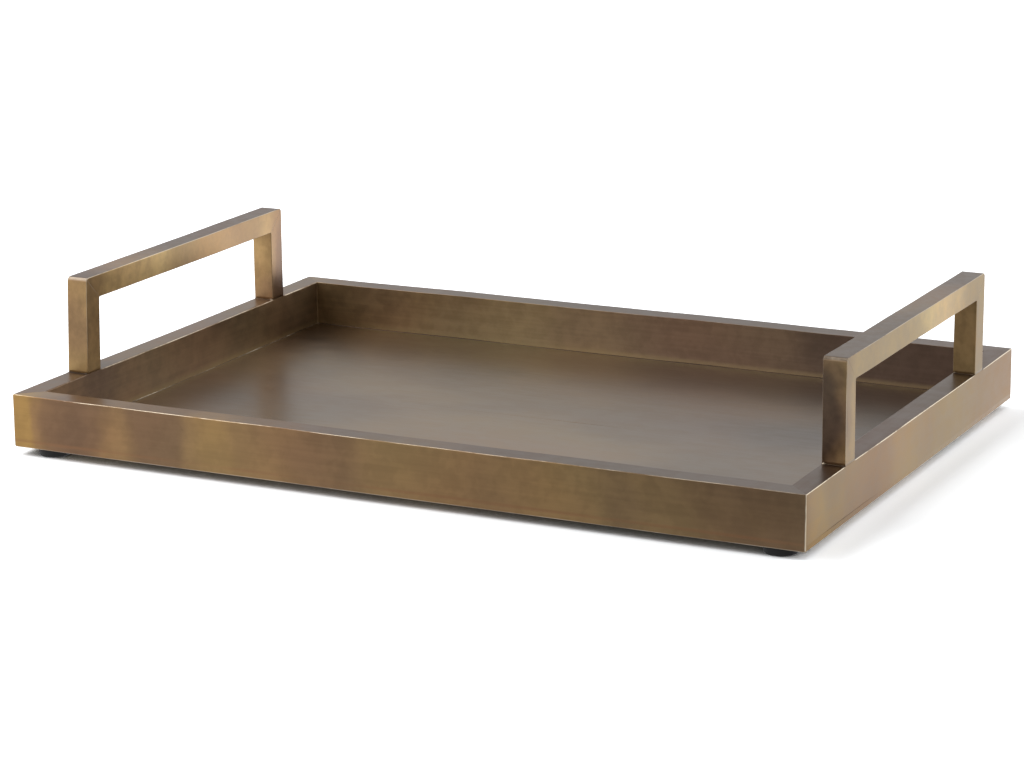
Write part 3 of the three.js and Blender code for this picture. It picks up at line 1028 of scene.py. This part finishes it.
# %% Handles
HANDLE_ROUNDS = (2.1 * MM, 0.9 * MM)
HANDLE_SOFTNESS = (0.2 * MM, 0.5 * MM)
POST_SPACING = 1.5 * MM
HANDLE_ENDS = {"left": -1, "right": 1}
POST_ENDS = {"front": -1, "back": 1}
handle_rise = handle_top - rim

for number, (side, sign) in enumerate(HANDLE_ENDS.items()):
    grip = soft_bar(
        f"{side}_grip_brass", 2 * half_span, bar_width, rail_width, (True, True), HANDLE_ROUNDS,
        seed=200 + 20 * number, place=on_handle(sign, (0, 1), (1, 0), -half_span, handle_rise),
        edge_wear=(0.5, 0.8, 0.2, 0.2), softness=HANDLE_SOFTNESS, face_steps=(5, 5),
    )
    finish_piece(grip, handle_brass, "antique_brass", f"{side}_handle_grip")
    for end, outward in POST_ENDS.items():
        post = soft_bar(
            f"{side}_{end}_post_brass", handle_rise, bar_width, rail_width, (False, True),
            HANDLE_ROUNDS, seed=210 + 20 * number + outward,
            place=on_handle(sign, (outward, 0), (0, 1), 0.0, half_span),
            edge_wear=(0.5, 0.4, 0.2, 0.2), softness=HANDLE_SOFTNESS, face_steps=(5, 5),
            spacing=POST_SPACING,
        )
        finish_piece(post, handle_brass, "antique_brass", f"{side}_handle_{end}_post")

# %% [markdown]
# ## Base plate
# The plate is one flat sheet under the whole tray, with its edge dressed flush with the
# rails. It is made of rings: rectangles with round corners, which shrink from the edge to
# the middle over the top and over the underside. The sheet shows the rails' finish at its
# edge, and the floor's satin finish on both faces.

# %% Round rectangles
CORNER_SIGNS = [(1, 1), (-1, 1), (-1, -1), (1, -1)]


def round_rectangle(half, corner, spacing=5 * MM, corner_steps=6):
    """Points on rectangles with round corners, one loop for each row of half sizes and
    corner radius. Each corner is an arc about a centre one radius in from both sides, and
    the straight part that follows it is divided evenly."""
    turn = np.linspace(0, np.pi / 2, corner_steps + 1)
    arcs = []
    for k, sign in enumerate(CORNER_SIGNS):
        centre = (half - corner[:, None]) * sign
        angle = turn + k * np.pi / 2
        arc = np.stack([np.cos(angle), np.sin(angle)], axis=1)
        arcs.append(centre[:, None] + corner[:, None, None] * arc)
    loops = []
    for k, arc in enumerate(arcs):
        following = arcs[(k + 1) % 4]
        count = int(np.linalg.norm(following[0, 0] - arc[0, -1]) / spacing)
        shares = np.linspace(0, 1, count + 1)[1:-1, None]
        loops += [arc, arc[:, -1:] + (following[:, :1] - arc[:, -1:]) * shares]
    return np.concatenate(loops, axis=1)


square = round_rectangle(np.array([[0.05, 0.05]]), np.array([0.01]))
print("a 100 mm square with 10 mm corners takes", square.shape[1], "points")

# %% [markdown]
# The plate's lower edge was broken with a file and its corners were rounded with the
# rails'. Its upper edge lies under the rails, so it stays sharp, and the face of the tray
# runs over the joint without a step.

# %% Rings of the plate
PLATE_SOFTNESS = 0.9 * MM
PLATE_CORNER = 0.9 * MM
LEAST_CORNER = 0.15 * MM
MIDDLE_STRIP = 0.2 * MM
EDGE_STEPS = 6
JOINT_LINE = 0.04 * MM
SPREAD = [0.11, 0.07, 0.04, 0.02, 0.008, 0.003]
TOP_EDGE = np.array([0.0, 0.01, 0.04, 0.3, 2.0]) * MM
UNDER_RAIL = (0.4, 0.8)


def plate_rings():
    """Insets and heights of the rings: out over the underside, round the softened lower
    edge, up the side, and in over the top. Also the rings between which the sheet has the
    rails' finish: from the lower edge to somewhere under the rails."""
    innermost = half_width - MIDDLE_STRIP
    spread = np.array([innermost, *SPREAD])
    turn = np.linspace(0, np.pi / 2, EDGE_STEPS)
    inset = np.concatenate([spread, PLATE_SOFTNESS * (1 - np.sin(turn)), [0.0, 0.0], TOP_EDGE,
                            np.array(UNDER_RAIL) * rail_width, spread[-2::-1] + rail_width])
    side = len(spread) + EDGE_STEPS
    height = np.full(len(inset), plate_top)
    height[:len(spread)] = plate_base
    height[len(spread):side] = plate_base + PLATE_SOFTNESS * (1 - np.cos(turn))
    height[side:side + 2] = plate_base + PLATE_SOFTNESS + SUPPORT, plate_top - JOINT_LINE
    dressed = (len(spread), side + 2 + len(TOP_EDGE) + 1)
    return np.minimum(inset, innermost), height, dressed


# %% [markdown]
# The bright line down the front right corner runs on over the plate's edge, and the lower
# edge is rubbed a little all round. Both are worked out from the rings' own sizes, so they
# stay on the edge when the plate changes.

# %% Wear of the plate
CORNER_RUB, LOW_EDGE_RUB = 0.85, 0.3
RUB_HEIGHT = 0.25 * MM
NEAR_SIDE = 0.8 * MM


def plate_wear(loops, inset, height):
    """The larger of two: a bell curve of the height at the lower edge, and, on the front
    right corner, the square of the sine of 2t, where t is the angle on its arc. There, the
    product of the distances past its centre is half its radius squared times that sine."""
    low_edge = np.exp(-((height - plate_base - RUB_HEIGHT) / RUB_HEIGHT) ** 2)
    low_edge = LOW_EDGE_RUB * low_edge * (inset < NEAR_SIDE)
    past_arc = np.clip(loops * (1, -1) - (half_length, half_width) + PLATE_CORNER, 0, None)
    corner = CORNER_RUB * (2 * past_arc.prod(axis=2) / PLATE_CORNER ** 2) ** 2
    return np.maximum(low_edge[:, None], corner)


# %% [markdown]
# The sheet has five finishes: satin brass in the well and underneath, and on its edge the
# brass of whichever rail is nearest, so that plate and rail look like one wall. Separate
# strips would do it too, but one sheet has no cracks.

# %% Plate


def nearest_rail(plate, first, last):
    """Slots for faces first to last: 1 front, 2 right, 3 back or 4 left. A face belongs to
    an end of the tray if its middle is nearer to that end than to the front and back."""
    middles = np.zeros(3 * len(plate.polygons))
    plate.polygons.foreach_get("center", middles)
    x, y = middles[0::3], middles[1::3]
    at_end = half_length - np.abs(x) < half_width - np.abs(y)
    slots = np.where(at_end, np.where(x > 0, 2, 4), np.where(y > 0, 3, 1))
    number = np.arange(len(slots))
    slots[(number < first) | (number >= last)] = 0
    plate.polygons.foreach_set("material_index", slots.astype(np.int32))
    return np.bincount(slots)


inset, height, dressed = plate_rings()
half = np.array([half_length, half_width]) - inset[:, None]
loops = round_rectangle(half, np.maximum(PLATE_CORNER - inset, LEAST_CORNER))
around = loops.shape[1]
grid = np.concatenate([loops, np.repeat(height[:, None, None], around, axis=1)], axis=2)
plate = tube_piece("floor_plate_brass", hand_made(grid), plate_wear(loops, inset, height))
finish_piece(plate, floor_brass, "floor_brass", "floor_plate")
for side_brass in (front_brass, right_brass, back_brass, left_brass):
    plate.data.materials.append(side_brass)
counts = nearest_rail(plate.data, dressed[0] * around, dressed[1] * around)
print("plate faces by finish:", counts)

# %% [markdown]
# ## Braze
# Filler metal wicks along each joint and leaves a small hollow fillet. One runs round the
# floor, where the rails meet the plate, and one crosses the rail on each side of a post,
# where it swells into little beads at the ends.

# %% Section of a fillet
FILLET_STEPS = 5
SUNK = 0.15 * MM


def fillet_section(radius):
    """Distances from the two walls for a hollow quarter circle of the given radius, with
    its corner sunk a little into both walls."""
    turn = np.linspace(0, np.pi / 2, FILLET_STEPS + 1)
    first = np.concatenate([[0.0], 1 - np.sin(turn), [0.0]]) * radius[..., None]
    second = np.concatenate([[0.0], 1 - np.cos(turn), [0.0]]) * radius[..., None]
    first[..., 0] = second[..., 0] = -SUNK
    first[..., 1], second[..., 1] = radius, -SUNK
    first[..., -2], second[..., -2] = -SUNK, radius
    first[..., -1], second[..., -1] = -SUNK, 0.5 * radius
    return first, second


print("a fillet's section has", fillet_section(np.ones(1))[0].size, "points")

# %% [markdown]
# The floor's fillet runs round a closed path, a rectangle with round corners. Along the
# left wall it has a painted highlight, bare brass for the light that it catches there, and
# elsewhere it is dark, braze oxide and painted shade in the crease.

# %% Fillet of the floor
WELL_RADIUS = (0.20 * MM, 0.45 * MM)
WELL_SPACING = 2.5 * MM
BY_LEFT_WALL = 2 * MM
PAINTED_FILLET_HIGHLIGHT = 0.6


def well_fillet():
    """The fillet's section stands on the path, square to the direction from the point
    before to the point after, and its radius wanders with the distance travelled."""
    half = np.array([[half_length - rail_width, half_width - rail_width]])
    path = round_rectangle(half, np.array([RAIL_ROUNDS[1]]), WELL_SPACING)[0]
    step = np.roll(path, -1, axis=0) - np.roll(path, 1, axis=0)
    step = step / np.linalg.norm(step, axis=1)[:, None]
    inward = np.stack([-step[:, 1], step[:, 0]], axis=1)
    travelled = np.concatenate([[0], np.cumsum(np.linalg.norm(np.diff(path, axis=0), axis=1))])
    from_wall, from_floor = fillet_section(uneven(travelled, 300, *WELL_RADIUS))
    grid = np.zeros((*from_wall.shape, 3))
    grid[..., :2] = path[:, None] + inward[:, None] * from_wall[..., None]
    grid[..., 2] = plate_top + from_floor
    rings, around = grid.shape[:2]
    # Painted highlight: bare brass along the left wall, where the fillet faces the light.
    by_left_wall = path[:, 0] < rail_width + BY_LEFT_WALL - half_length
    wear = np.repeat(PAINTED_FILLET_HIGHLIGHT * by_left_wall[:, None], around, axis=1)
    quads = ring_quads(rings, around, loop=True)
    return build_piece("floor_fillet_braze", hand_made(grid).reshape(-1, 3), quads, wear=wear)


finish_piece(well_fillet(), fillet_brass, "antique_brass")

# %% [markdown]
# At a post's foot the filler was fed from the two ends and drew together there, so each of
# these fillets is thin in the middle and has a small bead near either end.

# %% Fillets at the posts
POST_FILLET = 0.28 * MM
OUTER_BEAD, INNER_BEAD = (0.35 * MM, 0.06, 0.09), (0.60 * MM, 0.93, 0.10)
TAPER, TIP_SHARE = 0.03, 0.35
FILLET_WANDER, WANDER_LENGTH = 0.18, 60 * MM
FILLET_END = 0.3 * MM
BEAD_RUB, RUBBED_FROM, RUB_FADE = 0.35, 0.85, 0.1


def post_fillet(name, sign, y, direction, seed):
    """A fillet across the rail beside a post's foot. Its radius is the thin fillet's plus a
    bell curve for each bead, given as size, middle and spread. It tapers away at the very
    ends, and waves make it wander."""
    share = np.linspace(0, 1, 25)
    radius = np.full_like(share, POST_FILLET)
    for size, middle, spread in (OUTER_BEAD, INNER_BEAD):
        radius += size * np.exp(-((share - middle) / spread) ** 2)
    radius *= np.clip(np.minimum(share, 1 - share) / TAPER, TIP_SHARE, 1)
    radius *= 1 + FILLET_WANDER * waves(share * WANDER_LENGTH, seed)
    from_post, from_rail = fillet_section(radius)
    across = half_length - rail_width * share - (0.5 - share) * FILLET_END
    grid = np.zeros((*from_post.shape, 3))
    grid[..., 0] = sign * across[:, None]
    grid[..., 1] = y + direction * from_post
    grid[..., 2] = rim + from_rail
    wear = BEAD_RUB * np.clip((share[:, None] - RUBBED_FROM) / RUB_FADE, 0, 1)
    return tube_piece(name, hand_made(grid), np.repeat(wear, grid.shape[1], axis=1))


seed = 400
for side, sign in HANDLE_ENDS.items():
    for end, outward in POST_ENDS.items():
        for face, offset, direction in (("outer", 0.0, outward), ("inner", bar_width, -outward)):
            seed += 1
            bead = post_fillet(f"{side}_{end}_post_{face}_braze", sign,
                               outward * (half_span - offset), direction, seed)
            finish_piece(bead, braze_brass, "antique_brass")

# %% [markdown]
# ## Feet, washers and screws
# Four rubber feet lift the tray off the table. They are turned shapes: a profile carried
# round the vertical axis. A steel washer and a pan-head screw sit up inside each one.

# %% Turned pieces
TURN_STEPS = 72
CORNERS = ("front_left", "front_right", "back_left", "back_right")


def circle(steps):
    """Points on the unit circle, one row each."""
    angle = np.linspace(0, 2 * np.pi, steps, endpoint=False)
    return np.stack([np.cos(angle), np.sin(angle)], axis=1)


def turned_grid(profile, centre, steps=TURN_STEPS):
    """Rings of points: each (radius, height) of the profile, carried round the centre."""
    profile = np.array(profile)
    grid = np.zeros((len(profile), steps, 3))
    grid[..., :2] = profile[:, None, :1] * circle(steps) + centre
    grid[..., 2] = profile[:, None, 1]
    return grid


def turned_piece(name, profile, centre):
    """A ring-shaped piece, whose profile closes on itself."""
    grid = turned_grid(profile, centre)
    quads = ring_quads(len(profile), TURN_STEPS, loop=True)
    return build_piece(name, grid.reshape(-1, 3), quads)


def arc_points(centre, radius, start, end, steps=6):
    """Points on an arc about a (radius, height) centre, with angles in degrees."""
    angle = np.radians(np.linspace(start, end, steps + 1))
    arc = radius * np.stack([np.cos(angle), np.sin(angle)], axis=1)
    return (np.array(centre) + arc).tolist()


print("a quarter arc:", np.round(arc_points((0, 0), 1, 0, 90, 2), 2).tolist())

# %% [markdown]
# Rubber is black, but never quite: it scatters a little light, and a foot that has been
# slid about picks up dust, which the patina's specks stand for here.

# %% Rubber
BLACK_RUBBER, WORN_RUBBER = (0.006, 0.006, 0.007, 1), (0.013, 0.013, 0.014, 1)
DUST = (0.03, 0.029, 0.028, 1)
RUBBER_GLOSS, RUBBER_RELIEF, RUBBER_ROUGHNESS = 0.25, 0.25, (0.55, 0.72)


def rubber_finish():
    """Black, a little lighter where the mottle is high, with specks of dust."""
    material, tree, shader = shader_tree("foot_rubber_finish")
    patina = use_group(tree, PATINA, Offset=(4, 4, 4), Stretch=(3, 3, 3))
    colour = blend_colour(tree, patina["Mottle"], BLACK_RUBBER, WORN_RUBBER)
    colour = blend_colour(tree, patina["Speckle"], colour, DUST)
    bump = add_node(tree, "ShaderNodeBump")
    feed(tree, bump, Strength=RUBBER_RELIEF, Distance=RELIEF, Height=patina["Mottle"])
    feed(tree, shader, Base_Color=colour, Normal=bump.outputs[0],
         Specular_IOR_Level=RUBBER_GLOSS,
         Roughness=remap(tree, patina["Mottle"], 0, 1, *RUBBER_ROUGHNESS))
    return material


foot_rubber = rubber_finish()
print("rubber's roughness runs over", RUBBER_ROUGHNESS)

# %% [markdown]
# The washers and screws are plated steel: brighter and colder than the brass, with the
# slightly milky patches that zinc gets.

# %% Plated steel
DULL_ZINC, BRIGHT_ZINC = (0.50, 0.51, 0.50, 1), (0.66, 0.67, 0.68, 1)
ZINC_ROUGHNESS = (0.22, 0.40)


def steel_finish():
    """A grey between dull and bright by the mottle, rougher where the clouds are thick."""
    material, tree, shader = shader_tree("plated_steel_finish")
    patina = use_group(tree, PATINA, Offset=(7, 7, 7), Stretch=(4, 4, 4))
    feed(tree, shader, Base_Color=blend_colour(tree, patina["Mottle"], DULL_ZINC, BRIGHT_ZINC),
         Roughness=remap(tree, patina["Clouds"], 0, 1, *ZINC_ROUGHNESS), Metallic=1.0)
    return material


plated_steel = steel_finish()
print("finishes so far:", len(bpy.data.materials))

# %% [markdown]
# A foot is moulded: round below, where it slides, leaning out a little so that it leaves
# the mould, and bored in two steps, wide for the washer and narrow for the screw.

# %% Feet
WASHER_ROOM = 0.3 * MM
SCREW_HOLE = 2.15 * MM
FOOT_LEAN, FOOT_EDGE, FOOT_LIP = 0.5 * MM, 1.2 * MM, 0.35 * MM
BORE_EDGE = 0.2 * MM
LEAN_HEIGHT = 0.62


def middle_of(low, high):
    """The centre of a box in the table's plane."""
    return np.array([(low.x + high.x) / 2, (low.y + high.y) / 2])


def foot_profile(outer, top, ledge, bore):
    """The foot's section: a flat ring on the table, a round lower edge, a side that leans
    out, a round upper edge, and the stepped hole, with its ledge under the washer."""
    return [
        (bore + BORE_EDGE, 0.0),
        *arc_points((outer - FOOT_LEAN - FOOT_EDGE, FOOT_EDGE), FOOT_EDGE, -90, 0),
        (outer - FOOT_LEAN / 2, top * LEAN_HEIGHT),
        *arc_points((outer - FOOT_LIP, top - FOOT_LIP), FOOT_LIP, 0, 90),
        (SCREW_HOLE, top), (SCREW_HOLE, ledge), (bore, ledge), (bore, BORE_EDGE),
    ]


for corner in CORNERS:
    low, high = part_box(f"foot_{corner}")
    washer_low, washer_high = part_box(f"foot_washer_{corner}")
    bore = (washer_high.x - washer_low.x) / 2 + WASHER_ROOM
    profile = foot_profile((high.x - low.x) / 2, high.z, washer_high.z, bore)
    foot = turned_piece(f"{corner}_foot_rubber", profile, middle_of(low, high))
    finish_piece(foot, foot_rubber, "foot_rubber", f"foot_{corner}")

# %% [markdown]
# A washer is stamped from sheet, so its outline is plain. The plain solid could stay, but
# its edges would be perfectly sharp, and a real one's are just broken and catch the light.

# %% Washers
WASHER_EDGE = 0.12 * MM


def washer_profile(hole, outer, low, high, edge):
    """A rectangle with its four corners cut off at 45 degrees."""
    return [
        (hole + edge, low), (outer - edge, low), (outer, low + edge), (outer, high - edge),
        (outer - edge, high), (hole + edge, high), (hole, high - edge), (hole, low + edge),
    ]


for corner in CORNERS:
    low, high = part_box(f"foot_washer_{corner}")
    profile = washer_profile(SCREW_HOLE, (high.x - low.x) / 2, low.z, high.z, WASHER_EDGE)
    washer = turned_piece(f"{corner}_washer_steel", profile, middle_of(low, high))
    finish_piece(washer, plated_steel, "plated_steel", f"foot_washer_{corner}")

# %% [markdown]
# The screw head is a low dome with a cross recess. A boolean cut would leave thin faces,
# so dome and recess are one height over a disc: the dome falls off near the rim, and the
# recess is deepest in the middle of each arm of the cross.

# %% Screw head
HEAD_SIDE = 0.25 * MM
RECESS_HALF_WIDTH, RECESS_HALF_SPAN = 0.5 * MM, 2.0 * MM
RECESS_DEPTH = 0.95 * MM
RECESS_SIDE, RECESS_END = 0.12 * MM, 0.9 * MM
DOME_START, DOME_POWER = 0.7, 2.2
HEAD_RINGS, HEAD_STEPS = 36, 96


def head_grid(head, low, seat):
    """Rings of a disc of radius head. The height is the dome, which rises towards the seat
    over the outer three tenths, plus the recess, a product of two ramps: away from the
    arm's sides and away from its end."""
    radius = np.linspace(0.02, 1, HEAD_RINGS)[:, None, None] * head
    flat = radius * circle(HEAD_STEPS)
    share = radius[..., 0] / head
    fall = np.clip((share - DOME_START) / (1 - DOME_START), 0, 1) ** DOME_POWER
    dome = low + (seat - low - HEAD_SIDE) * fall
    narrow, wide = np.abs(flat).min(axis=2), np.abs(flat).max(axis=2)
    arm = np.clip((RECESS_HALF_WIDTH - narrow) / RECESS_SIDE, 0, 1)
    arm = arm * np.clip((RECESS_HALF_SPAN - wide) / RECESS_END, 0, 1)
    return np.concatenate([flat, (dome + RECESS_DEPTH * arm)[..., None]], axis=2)


# %% [markdown]
# Above its seat the head narrows to the shank, which goes up through the rubber into the
# plate and ends in a chamfer.

# %% Screws
SHANK = 1.95 * MM
TIP_CHAMFER = 0.5 * MM

for corner in CORNERS:
    low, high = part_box(f"foot_screw_{corner}")
    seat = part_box(f"foot_washer_{corner}")[0].z
    head = (high.x - low.x) / 2
    centre = middle_of(low, high)
    disc = head_grid(head, low.z, seat)
    disc[..., :2] += centre
    shank = [(head, seat), (SHANK, seat), (SHANK, high.z - TIP_CHAMFER),
             (SHANK - TIP_CHAMFER, high.z)]
    grid = np.concatenate([disc, turned_grid(shank, centre, HEAD_STEPS)])
    screw = tube_piece(f"{corner}_screw_steel", grid)
    finish_piece(screw, plated_steel, "plated_steel", f"foot_screw_{corner}")

# %% [markdown]
# ## Stage and light
# The tray stands on a plain white table in soft studio light. Brass is mostly what it
# reflects, so the table needs two faces: what the camera sees of it is white with a close
# shadow, and what the brass sees is a gradient, dark towards the front right, where the
# room is dark, and bright behind. Large cards would do the same in a real studio.

# %% Table's light
REFLECTED_WHITE = 1.20
DARK_PLACE, DARK_REACH, DARK_SHARE = (0.17, -0.41, 0.0), 0.48, 0.80
BRIGHT_PLACE, BRIGHT_REACH, BRIGHT_GAIN = (-0.06, 0.34, 0.0), 0.40, 1.5
SEEN_WHITE, SEEN_GLOOM = (1.33, 1.36, 1.39, 1), (0.17, 0.19, 0.19, 1)
SEEN_LIFTED, LIT_WHITE = (1.62, 1.67, 1.72, 1), (0.85, 0.85, 0.85, 1)
GLOOM_REACH, LIFT_REACH = 24 * MM, 16 * MM
GLOOM_OPENING = (0.03, 0.32)
RIGHT_START, RIGHT_FULL = 16 * MM, 5 * MM


def right_of_tray(tree, place):
    """0 over the tray, rising by a smooth step to 1 at its right side."""
    x = along(tree, place, "X")
    return remap(tree, x, half_length - RIGHT_START, half_length - RIGHT_FULL)


def gloom_under_tray(tree, place):
    """1 deep under the tray and 0 in the open, for a painted shadow: a smooth step of how much
    of the sky is open within the reach. It ends short of the right side, where light from the
    right and the painted lift fill it."""
    occlusion = add_node(tree, "ShaderNodeAmbientOcclusion", samples=8)
    opening = feed(tree, occlusion, Distance=GLOOM_REACH).outputs["AO"]
    closed = remap(tree, opening, *GLOOM_OPENING, 1.0, 0.0)
    unlit = math_node(tree, "SUBTRACT", 1.0, right_of_tray(tree, place))
    return math_node(tree, "MULTIPLY", closed, unlit)


def lift_at_right(tree, place):
    """1 close to the tray's right side, fading out to the right: a painted lift that lightens
    the tray's shadow there.
    """
    x = along(tree, place, "X")
    near = remap(tree, x, half_length, half_length + LIFT_REACH, 1.0, 0.0)
    return math_node(tree, "MULTIPLY", near, right_of_tray(tree, place))


def reflected_light(tree, place):
    """White, lower near the dark place and higher near the bright one, each by a smooth
    step of the distance."""
    strength = REFLECTED_WHITE
    for centre, reach, gain in ((DARK_PLACE, DARK_REACH, -DARK_SHARE),
                                (BRIGHT_PLACE, BRIGHT_REACH, BRIGHT_GAIN)):
        away = vector_node(tree, "DISTANCE", place, centre)
        strength = math_node(tree, "MULTIPLY", strength,
                             remap(tree, away, 0.0, reach, 1 + gain, 1.0))
    return strength


print("the table's reflection runs from", round(REFLECTED_WHITE * (1 - DARK_SHARE), 2), "to",
      round(REFLECTED_WHITE * (1 + BRIGHT_GAIN), 2))

# %% [markdown]
# The light path says which kind of ray arrives, and the two faces are mixed by it. A
# backdrop that only the brass can see would do the same, but the table is there already.

# %% Table
TABLE_HALF = 8.0


def table_finish():
    """What a ray sees depends on the ray. The camera sees an over-exposed white, so that
    only close shadows show, with a painted shadow deep under the tray and a painted lift by its
    right side; a reflection sees the white with its dark and bright places, and other rays see
    plain white. From underneath the sheet is clear."""
    material, tree, shader = shader_tree("table_white")
    tree.nodes.remove(shader)
    rays = add_node(tree, "ShaderNodeLightPath").outputs
    place = own_place(tree)
    seen = blend_colour(tree, lift_at_right(tree, place), SEEN_WHITE, SEEN_LIFTED)
    seen = blend_colour(tree, gloom_under_tray(tree, place), seen, SEEN_GLOOM)
    white = add_node(tree, "ShaderNodeBsdfDiffuse")
    feed(tree, white, Color=blend_colour(tree, rays["Is Camera Ray"], LIT_WHITE, seen))
    glow = feed(tree, add_node(tree, "ShaderNodeEmission"), Strength=reflected_light(tree, place))
    above = add_node(tree, "ShaderNodeMixShader")
    feed(tree, above, n0=rays["Is Glossy Ray"], n1=white.outputs[0], n2=glow.outputs[0])
    clear = add_node(tree, "ShaderNodeBsdfTransparent")
    both = add_node(tree, "ShaderNodeMixShader")
    underneath = add_node(tree, "ShaderNodeNewGeometry").outputs["Backfacing"]
    feed(tree, both, n0=underneath, n1=above.outputs[0], n2=clear.outputs[0])
    tree.links.new(both.outputs[0], tree.nodes["Material Output"].inputs["Surface"])
    return material


def table_top():
    """One large square at height 0, which is part of the stage and not of the tray."""
    corners = np.array([[-1, -1, 0], [1, -1, 0], [1, 1, 0], [-1, 1, 0]]) * TABLE_HALF
    mesh = bpy.data.meshes.new("table")
    mesh.from_pydata(corners.tolist(), [], [[0, 1, 2, 3]])
    mesh.materials.append(table_finish())
    table = bpy.data.objects.new("table", mesh)
    bpy.context.scene.collection.objects.link(table)


table_top()
print("table:", 2 * TABLE_HALF, "m on a side")

# %% [markdown]
# The room is bright walls to the left and right, a dimmer one behind, a pale ceiling, and
# darkness on the camera's side. An image of a studio could stand for it, but a few smooth
# lobes are enough for satin metal, and they can be turned and dimmed one by one.

# %% World
ROOM_DARK = 0.25
ROOM_WALLS = [((-0.94, -0.34, 0.1), 1.5, 0.7), ((0.75, 0.66, 0.0), 2.0, 1.4),
              ((-0.5, 0.86, 0.0), 2.0, 0.38), ((0, 0, 1), 1.5, 0.45)]


def studio_world():
    """The brightness of the room is a base plus a share for each wall: how far a direction
    points to the left, right, back or up, raised to a power."""
    world = bpy.data.worlds.new("studio")
    bpy.context.scene.world = world
    world.use_nodes = True
    tree = world.node_tree
    background = tree.nodes["Background"]
    direction = add_node(tree, "ShaderNodeTexCoord").outputs["Generated"]
    total = ROOM_DARK
    for heading, power, strength in ROOM_WALLS:
        facing = vector_node(tree, "DOT_PRODUCT", direction, heading)
        facing = math_node(tree, "MAXIMUM", facing, 0.0)
        facing = math_node(tree, "MULTIPLY", math_node(tree, "POWER", facing, power), strength)
        total = math_node(tree, "ADD", total, facing)
    feed(tree, background, Strength=total, Color=(1, 1, 1, 1))


studio_world()
print("the room has", len(ROOM_WALLS), "bright sides")

# %% [markdown]
# Two soft lamps add shape: a large one over the left shoulder, which makes one soft shadow
# to the right of the tray, and a small low one, which lifts the front face.

# %% Lamps
LAMPS = {
    "key": ((-1.3, -0.3, 1.6), (0, 0, 0), (1.9, 1.9), 28),
    "front": ((-0.68, -1.40, 0.45), (0, 0, 0.05), (0.9, 0.6), 4.2),
}


def softbox(name, place, aim, size, watts):
    """A flat lamp that faces its aim point and isn't itself seen by the camera."""
    data = bpy.data.lights.new(name, "AREA")
    data.shape = "RECTANGLE"
    data.size, data.size_y = size
    data.energy = watts
    lamp = bpy.data.objects.new(name, data)
    bpy.context.scene.collection.objects.link(lamp)
    back = np.array(place, float) - np.array(aim, float)
    back /= np.linalg.norm(back)
    right = np.cross([0, 0, 1.0], back)
    right /= np.linalg.norm(right)
    matrix = np.eye(4)
    matrix[:3, :3] = np.stack([right, np.cross(back, right), back], axis=1)
    matrix[:3, 3] = place
    lamp.matrix_world = Matrix(matrix.tolist())
    lamp.visible_camera = False
    print(name, "lamp:", watts, "W over", size, "m")


for name, lamp_values in LAMPS.items():
    softbox(name, *lamp_values)
bpy.context.scene.view_settings.view_transform = "Standard"
